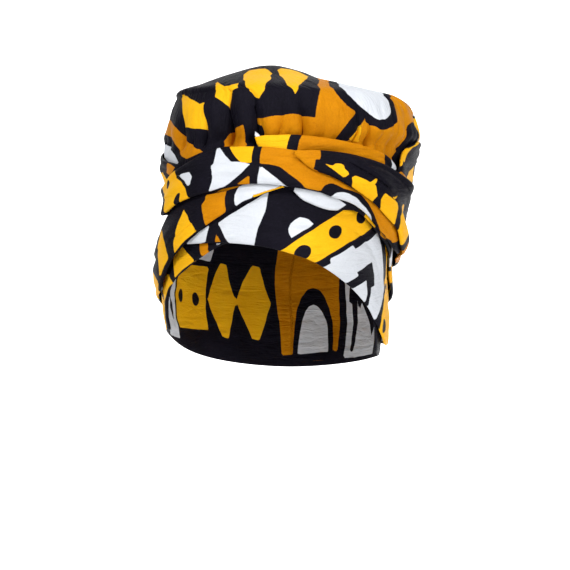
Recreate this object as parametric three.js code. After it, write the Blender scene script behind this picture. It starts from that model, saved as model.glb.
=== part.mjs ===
// Tied head wrap, millimetres, +Z up.
// The origin is the middle of the head opening at the height of the hat line. The front
// faces -Y and +X is the viewer's right. Every turn of cloth is a thin wall laid over
// the turns inside it: its inner face follows them, stretched straight across the hollows, and
// stands LAYER_GAP off them.
import * as THREE from "three";

// driving sizes
const CLOTH_WALL = 1.5; // thickness of one turn, a folded cloth
const LAYER_GAP = 0.45; // space between one turn and the next
const OVAL_POWER = 2.25; // 2 is an ellipse, more is squarer
const LAY_ANGLE = 2; // the map of laid cloth: degrees
const LAY_LOW = -72; // and millimetres of height
const LAY_HIGH = 112;
const LAY_STEP = 2;
const TAUT_PASSES = 60; // how far a turn is pulled straight over hollows
const CROWN_SEGMENTS = 72;
const CROWN_FREE = 80; // height where the crown leaves the head and swells
const CROWN_FULL = 92;

const rows = (columns, ...lines) =>
  lines.map((line) => Object.fromEntries(columns.map((name, k) => [name, line[k]])));

// the inside of the wrap by height: middle of the oval and its half width, front and back lengths
const SECTIONS = rows(
  ["z", "midX", "midY", "half", "front", "back"],
  [-72, -3, 10, 53, 84, 66],
  [-55, -3, 9, 57, 86, 74],
  [-40, -3.3, 8, 62, 88, 82],
  [-27, -3.7, 7.5, 65.8, 89.5, 87],
  [-18, -4.8, 7, 67.6, 90, 90],
  [0, -5.7, 7, 66.2, 91, 94],
  [25, -2.2, 8, 65.4, 90, 96],
  [50, 2.2, 10, 63.3, 88.5, 95],
  [62, 3.6, 11, 67.8, 87, 94],
  [75, 2.9, 12, 74.3, 86, 93],
  [86, 3.8, 13, 76, 83, 93],
  [94.5, 6.2, 14, 79, 82, 92],
  [112, 5.7, 15, 72, 80, 88],
  [117.6, 3.7, 13, 70, 78, 84],
  [121, -2.7, 10, 60, 70, 75],
  [125, -4.6, 7, 47, 60, 62],
  [129, -8, 5, 36, 47, 48],
  [133, -6.6, 3, 27, 36, 36],
  [136.7, -6.3, 1, 13, 22, 22],
  [137.9, -5, 0, 1, 1, 1],
);

// the swollen crown by height, round the same middles
const CROWN_SECTIONS = rows(
  ["z", "half", "front", "back"],
  [86, 77.5, 82, 93],
  [90, 79.4, 84.5, 95.5],
  [94.5, 81.4, 87, 98.5],
  [99, 80.3, 88, 100],
  [106, 78, 88, 99],
  [112, 75.6, 86, 95],
  [117.6, 70.8, 81, 87],
  [121, 63.9, 73, 77],
  [125, 49.3, 60, 62],
  [129, 35.2, 46, 47],
  [133, 23.6, 33, 34],
  [136.7, 10.4, 18, 18],
  [137.6, 5, 9, 9],
  [137.9, 0, 0, 0],
);

// the hem of the crown, tucked in under the turns
const CROWN_HEM = rows(
  ["at", "z"],
  [-180, 56],
  [-90, 57],
  [-60, 58],
  [-40, 62],
  [0, 68],
  [40, 64],
  [60, 60],
  [90, 56],
  [130, 55],
);

// gathers pressed into the foot of the crown: where, how far each leans by its top, depth,
// half width in degrees and the height where it ends
const GATHERS = rows(
  ["at", "lean", "depth", "wide", "top"],
  [-47, 3, 3.5, 4, 110],
  [-33, 4, 2.5, 4.5, 112],
  [-20.5, -1, 7, 4.2, 119],
  [-8.5, -3, 4.5, 3, 129],
  [10.5, -2, 3.2, 2.6, 114],
  [34, -1, 3, 2.4, 113],
  [40, -2.5, 4, 2.6, 106],
  [63, 2, 4, 3.4, 112],
  [82, -2, 3.4, 3, 116],
  [101, 2, 4.2, 3.4, 110],
  [124, 0, 4, 3.6, 118],
  [146, -2, 3.4, 3.2, 108],
  [168, 2, 4.4, 3.6, 115],
  [190, 0, 3.6, 3.2, 109],
  [212, -2, 4.4, 3.6, 118],
  [235, 2, 3.6, 3.2, 108],
  [256, 0, 4.2, 3.4, 114],
  [280, 2, 3.6, 3.4, 110],
);

// lower and upper edge of every turn and how far it swells between them. `at` is the angle
// round the head: 0 the middle of the forehead, 90 the viewer's right, 180 the back.
const EDGES = ["at", "low", "high", "swell"];
const UNDER_WRAP = rows(
  EDGES,
  [-180, -55, 30, 0],
  [-75, -31, 34, 0],
  [-57, -27.5, 41, 0],
  [-53.5, -21, 42, 0],
  [-50, -7.5, 44, 0],
  [-44, 1.2, 47, 0],
  [-33, 9.6, 49, 0],
  [-20, 21.3, 50, 0],
  [-15, 24.9, 51, 0],
  [-5, 28, 52, 0],
  [5, 26.5, 52, 0],
  [14, 21.6, 51, 0],
  [38, 6, 48, 0],
  [54, -9, 44, 0],
  [63, -25, 40, 0],
  [78, -42, 34, 0],
  [120, -47, 30, 0],
);
const FOREHEAD_BAND = rows(
  EDGES,
  [-180, -36, 4, 0],
  [-150, -33, 4, 0],
  [-120, -24, 8, 0],
  [-60, 14, 31, 0],
  [-40, 24.6, 46, 0],
  [-15, 25.3, 61, 1],
  [-5, 24.2, 65, 1],
  [14, 17.6, 64, 1],
  [38, 0.8, 52, 0.9],
  [54, -14, 43, 0.8],
  [61.5, -24, 35, 0.6],
  [68, -30, 28, 0.5],
  [86, -38, 10, 0.3],
  [100, -38.5, 4, 0],
);
const LOWER_TURN = rows(
  EDGES,
  [-180, -24, 24, 1.2],
  [-150, -23, 26, 1.2],
  [-120, -17, 31, 1.2],
  [-90, -9.5, 46.5, 0.8],
  [-62, -5.2, 48.5, 1.1],
  [-56, -2.8, 50, 1.6],
  [-41, 17.4, 57, 2],
  [-33, 24.6, 61, 2],
  [-26, 33, 64, 2],
  [0, 56.4, 69, 1],
  [5, 58.6, 68, 0.8],
  [13, 50.2, 66, 1.2],
  [24, 45, 62, 1.4],
  [31, 45.4, 59, 1.4],
  [48.5, 33, 46, 0.9],
  [68, 20.5, 34, 0.5],
  [84, 13, 29, 0.4],
  [105, 0, 22, 0.5],
  [120, -10, 18, 0.8],
);
const TOP_TURN = rows(
  EDGES,
  [-9, 91.6, 92.8, 0.4],
  [-6, 84.6, 90.2, 0.8],
  [-4, 80.4, 90.2, 1],
  [6, 78.4, 90.5, 1.4],
  [14, 81, 89.6, 1.5],
  [46.5, 72, 81.4, 1.2],
  [56, 61, 76, 0.6],
  [61, 60, 68, 0.2],
);
const BACK_TURN = rows(
  EDGES,
  [57, 64, 70.5, 0.2],
  [60, 60, 76, 0.2],
  [66, 57.5, 84, 0.3],
  [75, 54, 89, 0.4],
  [88, 52.5, 91, 0.5],
  [150, 36, 86, 2],
  [180, 33, 84, 2],
  [240, 44, 88, 1.4],
  [258, 52, 87.5, 0.8],
  [276, 56, 83.2, 0.5],
  [317, 66, 74, 0.2],
);
const FRONT_TURN = rows(
  EDGES,
  [-192, 22, 36, 0.2],
  [-184, 13, 45, 0.8],
  [-172, 14, 47, 1.4],
  [-150, 21, 50, 1.6],
  [-105, 37.5, 56.5, 0.6],
  [-90, 43, 59, 0.1],
  [-75, 44.3, 61, 0.1],
  [-62, 43.4, 62, 0.3],
  [-55, 43, 64.5, 1],
  [-47, 45.4, 69, 1.8],
  [-41, 49.2, 72.4, 2.2],
  [-18, 57.8, 83.5, 2.2],
  [-6, 60.8, 83.2, 2.2],
  [17, 55.9, 78, 1.6],
  [22, 53, 74.5, 1.6],
  [30, 49.4, 68.5, 1.5],
  [38.6, 42.6, 58.5, 1.4],
  [45, 35.8, 52, 1.1],
  [56.4, 27.6, 41, 0.8],
  [66, 22, 32, 0.5],
  [73, 19.5, 24, 0.2],
);
const RIGHT_TURN = rows(
  EDGES,
  [8, 78.8, 80.2, 0.3],
  [14.4, 69.6, 80.6, 1.6],
  [21.3, 65, 80, 2.4],
  [27.6, 59.4, 79, 2.8],
  [38, 50.2, 76.2, 2.6],
  [47, 41.2, 72.8, 2.2],
  [56.6, 33.4, 67, 1.4],
  [61.5, 27.5, 64.2, 1],
  [66, 23.6, 62.2, 1],
  [75, 19, 58, 1.8],
  [84, 17, 54.5, 3.2],
  [96, 16, 51.8, 4.5],
  [120, 12.6, 50.4, 4.5],
  [150, 9, 49, 3.4],
  [185, 8, 50, 2.2],
  [196, 11, 47, 1.2],
  [202, 20, 38, 0.3],
);
// every piece from the inside out: segments round it, rows between its edges, colour
const SHEETS = rows(
  ["name", "table", "closed", "round", "across", "colour"],
  ["under_wrap", UNDER_WRAP, true, 48, [0, 0.5, 1], 0x1d1d22],
  ["forehead_band", FOREHEAD_BAND, true, 56, [0, 0.14, 0.5, 0.86, 1], 0xe9e9ea],
  ["crown_puff", null, true, CROWN_SEGMENTS, null, 0x23232a],
  ["top_turn", TOP_TURN, false, 22, [0, 0.2, 0.8, 1], 0xd08808],
  ["back_turn", BACK_TURN, false, 50, [0, 0.12, 0.5, 0.88, 1], 0x2a2a31],
  ["lower_turn", LOWER_TURN, true, 60, [0, 0.14, 0.5, 0.86, 1], 0xd8890c],
  ["front_turn", FRONT_TURN, false, 56, [0, 0.14, 0.5, 0.86, 1], 0xf9c311],
  ["right_turn", RIGHT_TURN, false, 42, [0, 0.14, 0.5, 0.86, 1], 0x2d2d35],
);

// a smooth run through the rows of a table that never overshoots them
function run(xs, ys) {
  const last = xs.length - 1;
  const slopes = xs.slice(1).map((x, i) => (ys[i + 1] - ys[i]) / (x - xs[i]));
  const tangent = xs.map((_, i) => {
    if (i === 0) return slopes[0];
    if (i === last) return slopes[last - 1];
    const a = slopes[i - 1];
    const b = slopes[i];
    return a * b <= 0 ? 0 : (2 * a * b) / (a + b);
  });
  return (q) => {
    const x = Math.min(Math.max(q, xs[0]), xs[last]);
    let i = 0;
    while (i < last - 1 && x >= xs[i + 1]) i += 1;
    const h = xs[i + 1] - xs[i];
    const t = (x - xs[i]) / h;
    return (
      (1 + 2 * t) * (1 - t) ** 2 * ys[i] +
      t * (1 - t) ** 2 * h * tangent[i] +
      t * t * (3 - 2 * t) * ys[i + 1] +
      t * t * (t - 1) * h * tangent[i + 1]
    );
  };
}

const column = (table, key, name) => run(table.map((r) => r[key]), table.map((r) => r[name]));

function around(table, name, closed) {
  if (!closed) return column(table, "at", name);
  const n = table.length;
  const turned = (r, by) => ({ at: r.at + by, value: r[name] });
  const wide = [
    turned(table[n - 2], -360),
    turned(table[n - 1], -360),
    ...table.map((r) => turned(r, 0)),
    turned(table[0], 360),
    turned(table[1], 360),
  ];
  return column(wide, "at", "value");
}

const radians = (degrees) => (degrees * Math.PI) / 180;
const clamp01 = (t) => Math.min(Math.max(t, 0), 1);
const ease = (t) => clamp01(t) ** 2 * (3 - 2 * clamp01(t));
const between = (value, from) => ((((value - from) % 360) + 360) % 360) + from;
const swellAcross = (t) => 1 - 0.6 * (2 * t - 1) ** 4 - 0.4 * (2 * t - 1) ** 2;

const midX = column(SECTIONS, "z", "midX");
const midY = column(SECTIONS, "z", "midY");
const insideHalf = column(SECTIONS, "z", "half");
const insideFront = column(SECTIONS, "z", "front");
const insideBack = column(SECTIONS, "z", "back");
const crownHalf = column(CROWN_SECTIONS, "z", "half");
const crownFront = column(CROWN_SECTIONS, "z", "front");
const crownBack = column(CROWN_SECTIONS, "z", "back");
const crownHem = around(CROWN_HEM, "z", true);

function oval(angle, half, front, back) {
  const s = Math.abs(Math.sin(radians(angle)));
  const c = Math.cos(radians(angle));
  return ((s / half) ** OVAL_POWER + (Math.abs(c) / (c > 0 ? front : back)) ** OVAL_POWER) ** (-1 / OVAL_POWER);
}

const place = (angle, z, r) =>
  new THREE.Vector3(midX(z) + r * Math.sin(radians(angle)), midY(z) - r * Math.cos(radians(angle)), z);

// the map of laid cloth: the radius of the outermost face at every angle and height
const LAY_COLUMNS = 360 / LAY_ANGLE;
const LAY_ROWS = (LAY_HIGH - LAY_LOW) / LAY_STEP + 1;
const angleOf = (i) => i * LAY_ANGLE - 180;
const heightOf = (j) => LAY_LOW + j * LAY_STEP;
const newMap = (fill) =>
  Array.from({ length: LAY_COLUMNS }, (_, i) => Array.from({ length: LAY_ROWS }, (_, j) => fill(i, j)));
const at = (map, i, j) =>
  map[(i + LAY_COLUMNS * 2) % LAY_COLUMNS][Math.min(Math.max(j, 0), LAY_ROWS - 1)];

function spread(map) {
  return newMap((i, j) => {
    let most = -Infinity;
    for (let a = -1; a <= 1; a += 1) for (let b = -1; b <= 1; b += 1) most = Math.max(most, at(map, i + a, j + b));
    return most;
  });
}

// a taut sheet over the map: never under it, straight across its hollows
function stretched(floor, inside) {
  let map = floor;
  for (let pass = 0; pass < TAUT_PASSES; pass += 1) {
    map = newMap((i, j) => {
      if (!inside[i][j]) return floor[i][j];
      let sum = 0;
      let weight = 0;
      for (let a = -1; a <= 1; a += 1) {
        for (let b = -1; b <= 1; b += 1) {
          if (j + b < 0 || j + b >= LAY_ROWS || !at(inside, i + a, j + b)) continue;
          const w = (a === 0 ? 2 : 1) * (b === 0 ? 2 : 1);
          sum += w * at(map, i + a, j + b);
          weight += w;
        }
      }
      return Math.max(floor[i][j], sum / weight);
    });
  }
  return map;
}

function read(map, angle, z) {
  const u = (angle + 180) / LAY_ANGLE;
  const v = Math.min(Math.max((z - LAY_LOW) / LAY_STEP, 0), LAY_ROWS - 1.0001);
  const i = Math.floor(u);
  const j = Math.floor(v);
  const fu = u - i;
  const fv = v - j;
  return (
    (1 - fu) * ((1 - fv) * at(map, i, j) + fv * at(map, i, j + 1)) +
    fu * ((1 - fv) * at(map, i + 1, j) + fv * at(map, i + 1, j + 1))
  );
}

// a sheet is a net of columns round the head, each a list of { angle, z, r }
const netPoint = (p) => place(p.angle, p.z, p.r);

// where the plane of a map column cuts the net: a broken line of points and the corners they hang on
function fence(net, points, closed, angle) {
  const columns = net.length;
  const spans = closed ? columns : columns - 1;
  for (let i = 0; i < spans; i += 1) {
    const k = (i + 1) % columns;
    const from = net[i][0].angle;
    const to = i + 1 === columns ? net[k][0].angle + 360 : net[k][0].angle;
    const here = between(angle, from);
    if (here > to) continue;
    const u = (here - from) / (to - from);
    const mix = (j, l) => ({
      v: points[i][j].clone().lerp(points[k][l], u),
      shares: [[net[i][j], 1 - u], [net[k][l], u]],
    });
    const line = [];
    for (let j = 0; j < net[i].length; j += 1) {
      line.push(mix(j, j));
      if (j + 1 < net[i].length) line.push(mix(j, j + 1));
    }
    return line;
  }
  return null;
}

// every point of the map that the net passes, with the radius of its flat facet there
function eachMet(net, points, closed, visit) {
  for (let i = 0; i < LAY_COLUMNS; i += 1) {
    const line = fence(net, points, closed, angleOf(i));
    if (!line) continue;
    for (let k = 0; k + 1 < line.length; k += 1) {
      const a = line[k];
      const b = line[k + 1];
      const low = Math.min(a.v.z, b.v.z);
      const high = Math.max(a.v.z, b.v.z);
      if (high - low < 1e-9) continue;
      for (let j = Math.max(Math.ceil((low - LAY_LOW) / LAY_STEP), 0); heightOf(j) <= high && j < LAY_ROWS; j += 1) {
        const t = (heightOf(j) - a.v.z) / (b.v.z - a.v.z);
        const v = a.v.clone().lerp(b.v, t);
        const shares = [...a.shares.map(([p, w]) => [p, w * (1 - t)]), ...b.shares.map(([p, w]) => [p, w * t])];
        visit(i, j, Math.hypot(v.x - midX(v.z), v.y - midY(v.z)), shares);
      }
    }
  }
}

// lift the corners of a net until its flat facets clear what lies under them
function lift(net, closed, floor) {
  for (let pass = 0; pass < 14; pass += 1) {
    const need = new Map();
    eachMet(net, net.map((col) => col.map(netPoint)), closed, (i, j, r, shares) => {
      const short = floor[i][j] + LAYER_GAP - r;
      if (short <= 0) return;
      const norm = shares.reduce((s, [, w]) => s + w * w, 0);
      for (const [p, w] of shares) {
        const by = pass < 12 ? (short * w) / norm : w > 0 ? short : 0;
        need.set(p, Math.max(need.get(p) ?? 0, by));
      }
    });
    for (const [p, by] of need) p.r += by;
  }
}

function crownPress(angle, z) {
  let press = 0;
  for (const g of GATHERS) {
    const up = clamp01((z - 84) / (g.top - 84));
    const off = between(angle - g.at - g.lean * up, -180);
    const fade = (1 - ease((z - 88) / (g.top - 88))) * ease((z - 82) / 6);
    press += g.depth * fade * Math.exp(-((off / (g.wide * (1 + 0.8 * up))) ** 2));
  }
  return press;
}

// rows of the crown: two shares of the way up its skirt, then heights
const CROWN_LEVELS = [0, 0.55, 80, 86, 91, 97, 105, 113, 118.5, 123, 129.5, 135.5, 139.2];
const CROWN_TOP = CROWN_SECTIONS[CROWN_SECTIONS.length - 1].z;

// the angles of the crown's columns, each moved onto the nearest gather
function crownAngles() {
  const step = 360 / CROWN_SEGMENTS;
  return Array.from({ length: CROWN_SEGMENTS }, (_, i) => {
    const even = i * step - 180;
    for (const g of GATHERS) {
      const off = between(g.at - even, -180);
      if (Math.abs(off) <= step / 2) return even + off * 0.9;
    }
    return even;
  });
}

function crownNet(taut) {
  return crownAngles().map((angle) =>
    CROWN_LEVELS.map((level) => {
      const z = level <= 1 ? crownHem(angle) + (CROWN_FREE - crownHem(angle)) * level : level;
      const pressed = read(taut, angle, z) + LAYER_GAP;
      const high = Math.max(z, CROWN_SECTIONS[0].z);
      if (high >= CROWN_TOP) return { angle, z, r: 0 };
      const swollen = oval(angle, crownHalf(high), crownFront(high), crownBack(high)) - CLOTH_WALL;
      const b = ease((z - CROWN_FREE) / (CROWN_FULL - CROWN_FREE));
      return { angle, z, r: pressed * (1 - b) + swollen * b - crownPress(angle, z) * clamp01(swollen / 60) };
    }),
  );
}

function turnNet(sheet, taut) {
  const low = around(sheet.table, "low", sheet.closed);
  const high = around(sheet.table, "high", sheet.closed);
  const swell = around(sheet.table, "swell", sheet.closed);
  const from = sheet.closed ? -180 : sheet.table[0].at;
  const to = sheet.closed ? 180 : sheet.table[sheet.table.length - 1].at;
  const count = sheet.closed ? sheet.round : sheet.round + 1;
  return Array.from({ length: count }, (_, i) => {
    const angle = from + ((to - from) * i) / sheet.round;
    return sheet.across.map((t) => {
      const z = low(angle) + (high(angle) - low(angle)) * t;
      return { angle, z, r: read(taut, between(angle, -180), z) + LAYER_GAP + swell(angle) * swellAcross(t) };
    });
  });
}

// the outer face of a net, one wall out along the way the cloth faces
function outerFace(net, closed, apex) {
  const n = net.length;
  const points = net.map((col) => col.map(netPoint));
  return net.map((col, i) =>
    col.map((p, j) => {
      if (apex && j === col.length - 1) return new THREE.Vector3(points[i][j].x, points[i][j].y, points[i][j].z + CLOTH_WALL);
      const left = points[closed ? (i + n - 1) % n : Math.max(i - 1, 0)][j];
      const right = points[closed ? (i + 1) % n : Math.min(i + 1, n - 1)][j];
      const below = points[i][Math.max(j - 1, 0)];
      const above = points[i][Math.min(j + 1, col.length - 1)];
      const normal = right.clone().sub(left).cross(above.clone().sub(below)).normalize();
      return points[i][j].clone().addScaledVector(normal, CLOTH_WALL);
    }),
  );
}

// a closed solid between the inner and the outer face
function solidOf(net, outer, closed, apex) {
  const n = net.length;
  const rowsUp = net[0].length - (apex ? 1 : 0);
  const positions = [];
  const put = (v) => positions.push(v.x, v.y, v.z) / 3 - 1;
  const inner = net.map((col) => col.slice(0, rowsUp).map((p) => put(netPoint(p))));
  const outside = outer.map((col) => col.slice(0, rowsUp).map(put));
  const index = [];
  const quad = (a, b, c, d) => index.push(a, b, c, a, c, d);
  const spans = closed ? n : n - 1;
  for (let i = 0; i < spans; i += 1) {
    const k = (i + 1) % n;
    for (let j = 0; j + 1 < rowsUp; j += 1) {
      quad(outside[i][j], outside[k][j], outside[k][j + 1], outside[i][j + 1]);
      index.push(inner[i][j], inner[k][j + 1], inner[k][j], inner[i][j], inner[i][j + 1], inner[k][j + 1]);
    }
    quad(inner[i][0], inner[k][0], outside[k][0], outside[i][0]);
    if (!apex) quad(outside[i][rowsUp - 1], outside[k][rowsUp - 1], inner[k][rowsUp - 1], inner[i][rowsUp - 1]);
  }
  if (apex) {
    const innerTop = put(netPoint(net[0][rowsUp]));
    const outerTop = put(outer[0][rowsUp]);
    for (let i = 0; i < n; i += 1) {
      const k = (i + 1) % n;
      index.push(outside[i][rowsUp - 1], outside[k][rowsUp - 1], outerTop);
      index.push(inner[k][rowsUp - 1], inner[i][rowsUp - 1], innerTop);
    }
  }
  if (!closed) {
    for (let j = 0; j + 1 < rowsUp; j += 1) {
      quad(inner[0][j], outside[0][j], outside[0][j + 1], inner[0][j + 1]);
      quad(outside[n - 1][j], inner[n - 1][j], inner[n - 1][j + 1], outside[n - 1][j + 1]);
    }
  }
  const geometry = new THREE.BufferGeometry();
  geometry.setAttribute("position", new THREE.Float32BufferAttribute(positions, 3));
  geometry.setIndex(index);
  geometry.computeVertexNormals();
  return geometry;
}

function headWrap() {
  const group = new THREE.Group();
  group.name = "tied_head_wrap";
  let laid = newMap((i, j) => {
    const z = heightOf(j);
    return oval(angleOf(i), insideHalf(z), insideFront(z), insideBack(z)) - LAYER_GAP;
  });
  for (const sheet of SHEETS) {
    const floor = spread(laid);
    let inside;
    if (sheet.table) {
      const low = around(sheet.table, "low", sheet.closed);
      const high = around(sheet.table, "high", sheet.closed);
      const from = sheet.closed ? -180 : sheet.table[0].at - LAY_ANGLE;
      const to = sheet.closed ? 180 : sheet.table[sheet.table.length - 1].at + LAY_ANGLE;
      inside = newMap((i, j) => {
        const angle = between(angleOf(i), from);
        return angle <= to && heightOf(j) >= low(angle) - 3 && heightOf(j) <= high(angle) + 3;
      });
    } else {
      inside = newMap((i, j) => heightOf(j) >= crownHem(angleOf(i)) - 3);
    }
    const taut = stretched(floor, inside);
    const net = sheet.table ? turnNet(sheet, taut) : crownNet(taut);
    if (sheet.table) lift(net, sheet.closed, floor);
    else lift(net.map((col) => col.slice(0, 4)), true, floor);
    const outer = outerFace(net, sheet.closed, !sheet.table);
    const next = laid.map((col) => [...col]);
    eachMet(net, outer, sheet.closed, (i, j, r) => {
      next[i][j] = Math.max(next[i][j], r);
    });
    laid = next;
    const mesh = new THREE.Mesh(
      solidOf(net, outer, sheet.closed, !sheet.table),
      new THREE.MeshStandardMaterial({ color: sheet.colour, roughness: 0.8, metalness: 0 }),
    );
    mesh.name = sheet.name;
    group.add(mesh);
  }
  return group;
}

export default headWrap();
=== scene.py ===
"""Tied head wrap in printed cotton: the wound turns and gathered crown as fine cloth, with a
charted wax print. Made in millimetres, +Z up, +X to the right of the picture, front to -Y, and
brought into the frame in metres."""

import math

import bpy
import numpy as np
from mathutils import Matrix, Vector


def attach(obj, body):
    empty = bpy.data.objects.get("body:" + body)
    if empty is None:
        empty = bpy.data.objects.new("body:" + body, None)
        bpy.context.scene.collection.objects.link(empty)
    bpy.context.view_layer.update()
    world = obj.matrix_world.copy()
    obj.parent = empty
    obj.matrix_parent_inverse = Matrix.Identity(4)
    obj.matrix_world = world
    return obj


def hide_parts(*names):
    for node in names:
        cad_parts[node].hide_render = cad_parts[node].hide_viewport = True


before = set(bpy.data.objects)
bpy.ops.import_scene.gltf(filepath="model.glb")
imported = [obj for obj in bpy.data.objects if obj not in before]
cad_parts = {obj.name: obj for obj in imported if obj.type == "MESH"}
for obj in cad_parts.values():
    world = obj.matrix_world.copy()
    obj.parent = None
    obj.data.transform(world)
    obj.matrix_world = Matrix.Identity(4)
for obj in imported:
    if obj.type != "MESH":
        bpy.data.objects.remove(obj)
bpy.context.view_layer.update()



# ---------------------------------------------------------------- driving sizes, millimetres
CLOTH_WALL = 1.5  # thickness of one turn, a folded cloth
LAYER_GAP = 0.45  # space between one turn and the next
OVAL_POWER = 2.25
MAP_ANGLE = 1.2  # the map of laid cloth: degrees
MAP_LOW = -72.0
MAP_HIGH = 112.8
MAP_STEP = 1.2  # and millimetres of height
TAUT_PASSES = 110  # how far a turn is pulled straight over hollows
CROWN_FREE = 80.0
CROWN_FULL = 92.0
ARC = 1.45  # millimetres of cloth to a degree round the head
EDGE_ROUND = 1.7  # how far in from an edge the fold has its full thickness


def rows(columns, *lines):
    return [dict(zip(columns, line)) for line in lines]


SECTIONS = rows(
    ("z", "midX", "midY", "half", "front", "back"),
    (-72, -3, 10, 53, 84, 66),
    (-55, -3, 9, 57, 86, 74),
    (-40, -3.3, 8, 62, 88, 82),
    (-27, -3.7, 7.5, 65.8, 89.5, 87),
    (-18, -4.8, 7, 67.6, 90, 90),
    (0, -5.7, 7, 66.2, 91, 94),
    (25, -2.2, 8, 65.4, 90, 96),
    (50, 2.2, 10, 63.3, 88.5, 95),
    (62, 3.6, 11, 67.8, 87, 94),
    (75, 2.9, 12, 74.3, 86, 93),
    (86, 3.8, 13, 76, 83, 93),
    (94.5, 6.2, 14, 79, 82, 92),
    (112, 5.7, 15, 72, 80, 88),
    (117.6, 3.7, 13, 70, 78, 84),
    (121, -2.7, 10, 60, 70, 75),
    (125, -4.6, 7, 47, 60, 62),
    (129, -8, 5, 36, 47, 48),
    (133, -6.6, 3, 27, 36, 36),
    (136.7, -6.3, 1, 13, 22, 22),
    (137.9, -5, 0, 1, 1, 1),
)
CROWN_SECTIONS = rows(
    ("z", "half", "front", "back"),
    (86, 77.5, 82, 93),
    (90, 79.4, 84.5, 95.5),
    (94.5, 81.4, 87, 98.5),
    (99, 80.3, 88, 100),
    (106, 78, 88, 99),
    (112, 75.6, 86, 95),
    (117.6, 70.8, 81, 87),
    (121, 63.9, 73, 77),
    (125, 49.3, 60, 62),
    (129, 35.2, 46, 47),
    (133, 23.6, 33, 34),
    (136.7, 10.4, 18, 18),
    (137.6, 5, 9, 9),
    (137.9, 0, 0, 0),
)
CROWN_HEM = rows(
    ("at", "z"),
    (-180, 56), (-90, 57), (-60, 58), (-40, 62), (0, 68), (40, 64), (60, 60), (90, 56), (130, 55),
)
# gathers pressed into the foot of the crown
GATHERS = rows(
    ("at", "lean", "depth", "wide", "top"),
    (-62, 4, 2.4, 2.6, 104),
    (-47, 3, 4.6, 2.4, 112),
    (-39.5, 2, 1.8, 1.7, 102),
    (-33, 4, 3.8, 1.9, 114),
    (-26.5, 2, 1.6, 1.3, 103),
    (-20.5, -1, 12, 2.6, 123),
    (-15.5, 1, 2.2, 1.2, 106),
    (-12, -2, 1.8, 1.3, 108),
    (-8.5, -3, 9.5, 1.8, 131),
    (-4.6, -3, 3.6, 1, 110),
    (-1.2, 4.5, 3.8, 1, 111),
    (4, 2, 1.6, 1.2, 104),
    (10.5, -2, 6.4, 1.5, 121),
    (17.5, 3, 1.9, 1.5, 107),
    (25, -2, 1.7, 1.6, 105),
    (34, -1, 6, 1.6, 116),
    (40, -2.5, 6.6, 1.6, 110),
    (46, -1, 1.8, 1.6, 103),
    (53, 2, 2.2, 1.8, 105),
    (63, 2, 4.4, 2.4, 112),
    (72, -2, 2, 1.7, 103),
    (82, -2, 3.8, 2.3, 116),
    (91, 2, 2, 1.8, 104),
    (101, 2, 4.6, 2.5, 110),
    (112, -1, 2.2, 1.8, 105),
    (124, 0, 4.4, 2.5, 118),
    (134, 2, 2, 1.8, 103),
    (146, -2, 3.8, 2.4, 108),
    (157, 1, 2.1, 1.7, 104),
    (168, 2, 4.8, 2.6, 115),
    (179, -1, 2.2, 1.8, 105),
    (190, 0, 4, 2.4, 109),
    (200, 2, 2, 1.7, 104),
    (212, -2, 4.8, 2.6, 118),
    (224, 1, 2.1, 1.8, 103),
    (235, 2, 3.9, 2.4, 108),
    (245, -1, 2, 1.7, 105),
    (256, 0, 4.6, 2.5, 114),
    (268, 1, 2.1, 1.8, 104),
    (280, 2, 3.8, 2.4, 110),
    (290, 0, 1.9, 1.7, 102),
)

# lower and upper edge of every turn round the head and how far it swells between them
EDGES = ("at", "low", "high", "swell")
UNDER_WRAP = rows(
    EDGES,
    (-180, -55, 30, 0), (-75, -31, 34, 0), (-57, -27.5, 41, 0), (-53.5, -21, 42, 0), (-50, -7.5, 44, 0),
    (-44, 1.2, 47, 0), (-33, 9.6, 49, 0), (-20, 21.3, 50, 0), (-15, 24.9, 51, 0), (-5, 28, 52, 0),
    (5, 26.5, 52, 0), (14, 21.6, 51, 0), (38, 6, 48, 0), (54, -9, 44, 0), (63, -25, 40, 0),
    (78, -42, 34, 0), (120, -47, 30, 0),
)
FOREHEAD_BAND = rows(
    EDGES,
    (-180, -36, 4, 0), (-150, -33, 4, 0), (-120, -24, 8, 0), (-60, 14, 31, 0), (-40, 24.6, 46, 0),
    (-15, 25.3, 61, 1), (-5, 24.2, 65, 1), (14, 17.6, 64, 1), (38, 0.8, 52, 0.9), (54, -14, 43, 0.8),
    (61.5, -24, 35, 0.6), (68, -30, 28, 0.5), (86, -38, 10, 0.3), (100, -38.5, 4, 0),
)
LOWER_TURN = rows(
    EDGES,
    (-180, -24, 24, 1.2), (-150, -23, 26, 1.2), (-120, -17, 31, 1.2), (-90, -9.5, 46.5, 0.8),
    (-62, -5.2, 48.5, 1.1), (-56, -2.8, 50, 1.6), (-41, 17.4, 57, 2), (-33, 24.6, 61, 2),
    (-26, 33, 64, 2), (0, 56.4, 69, 1), (5, 58.6, 68, 0.8), (13, 50.2, 66, 1.2),
    (24, 45, 62, 1.4), (31, 45.4, 59, 1.4), (48.5, 33, 46, 0.9), (68, 20.5, 34, 0.5), (84, 13, 29, 0.4),
    (105, 0, 22, 0.5), (120, -10, 18, 0.8),
)
TOP_TURN = rows(
    EDGES,
    (-9, 91.6, 92.8, 0.4), (-6, 84.6, 90.2, 0.8), (-4, 80.4, 90.2, 1), (6, 78.4, 90.5, 1.4),
    (14, 81, 89.6, 1.5), (46.5, 72, 81.4, 1.2), (56, 61, 76, 0.6), (61, 60, 68, 0.2),
)
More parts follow.
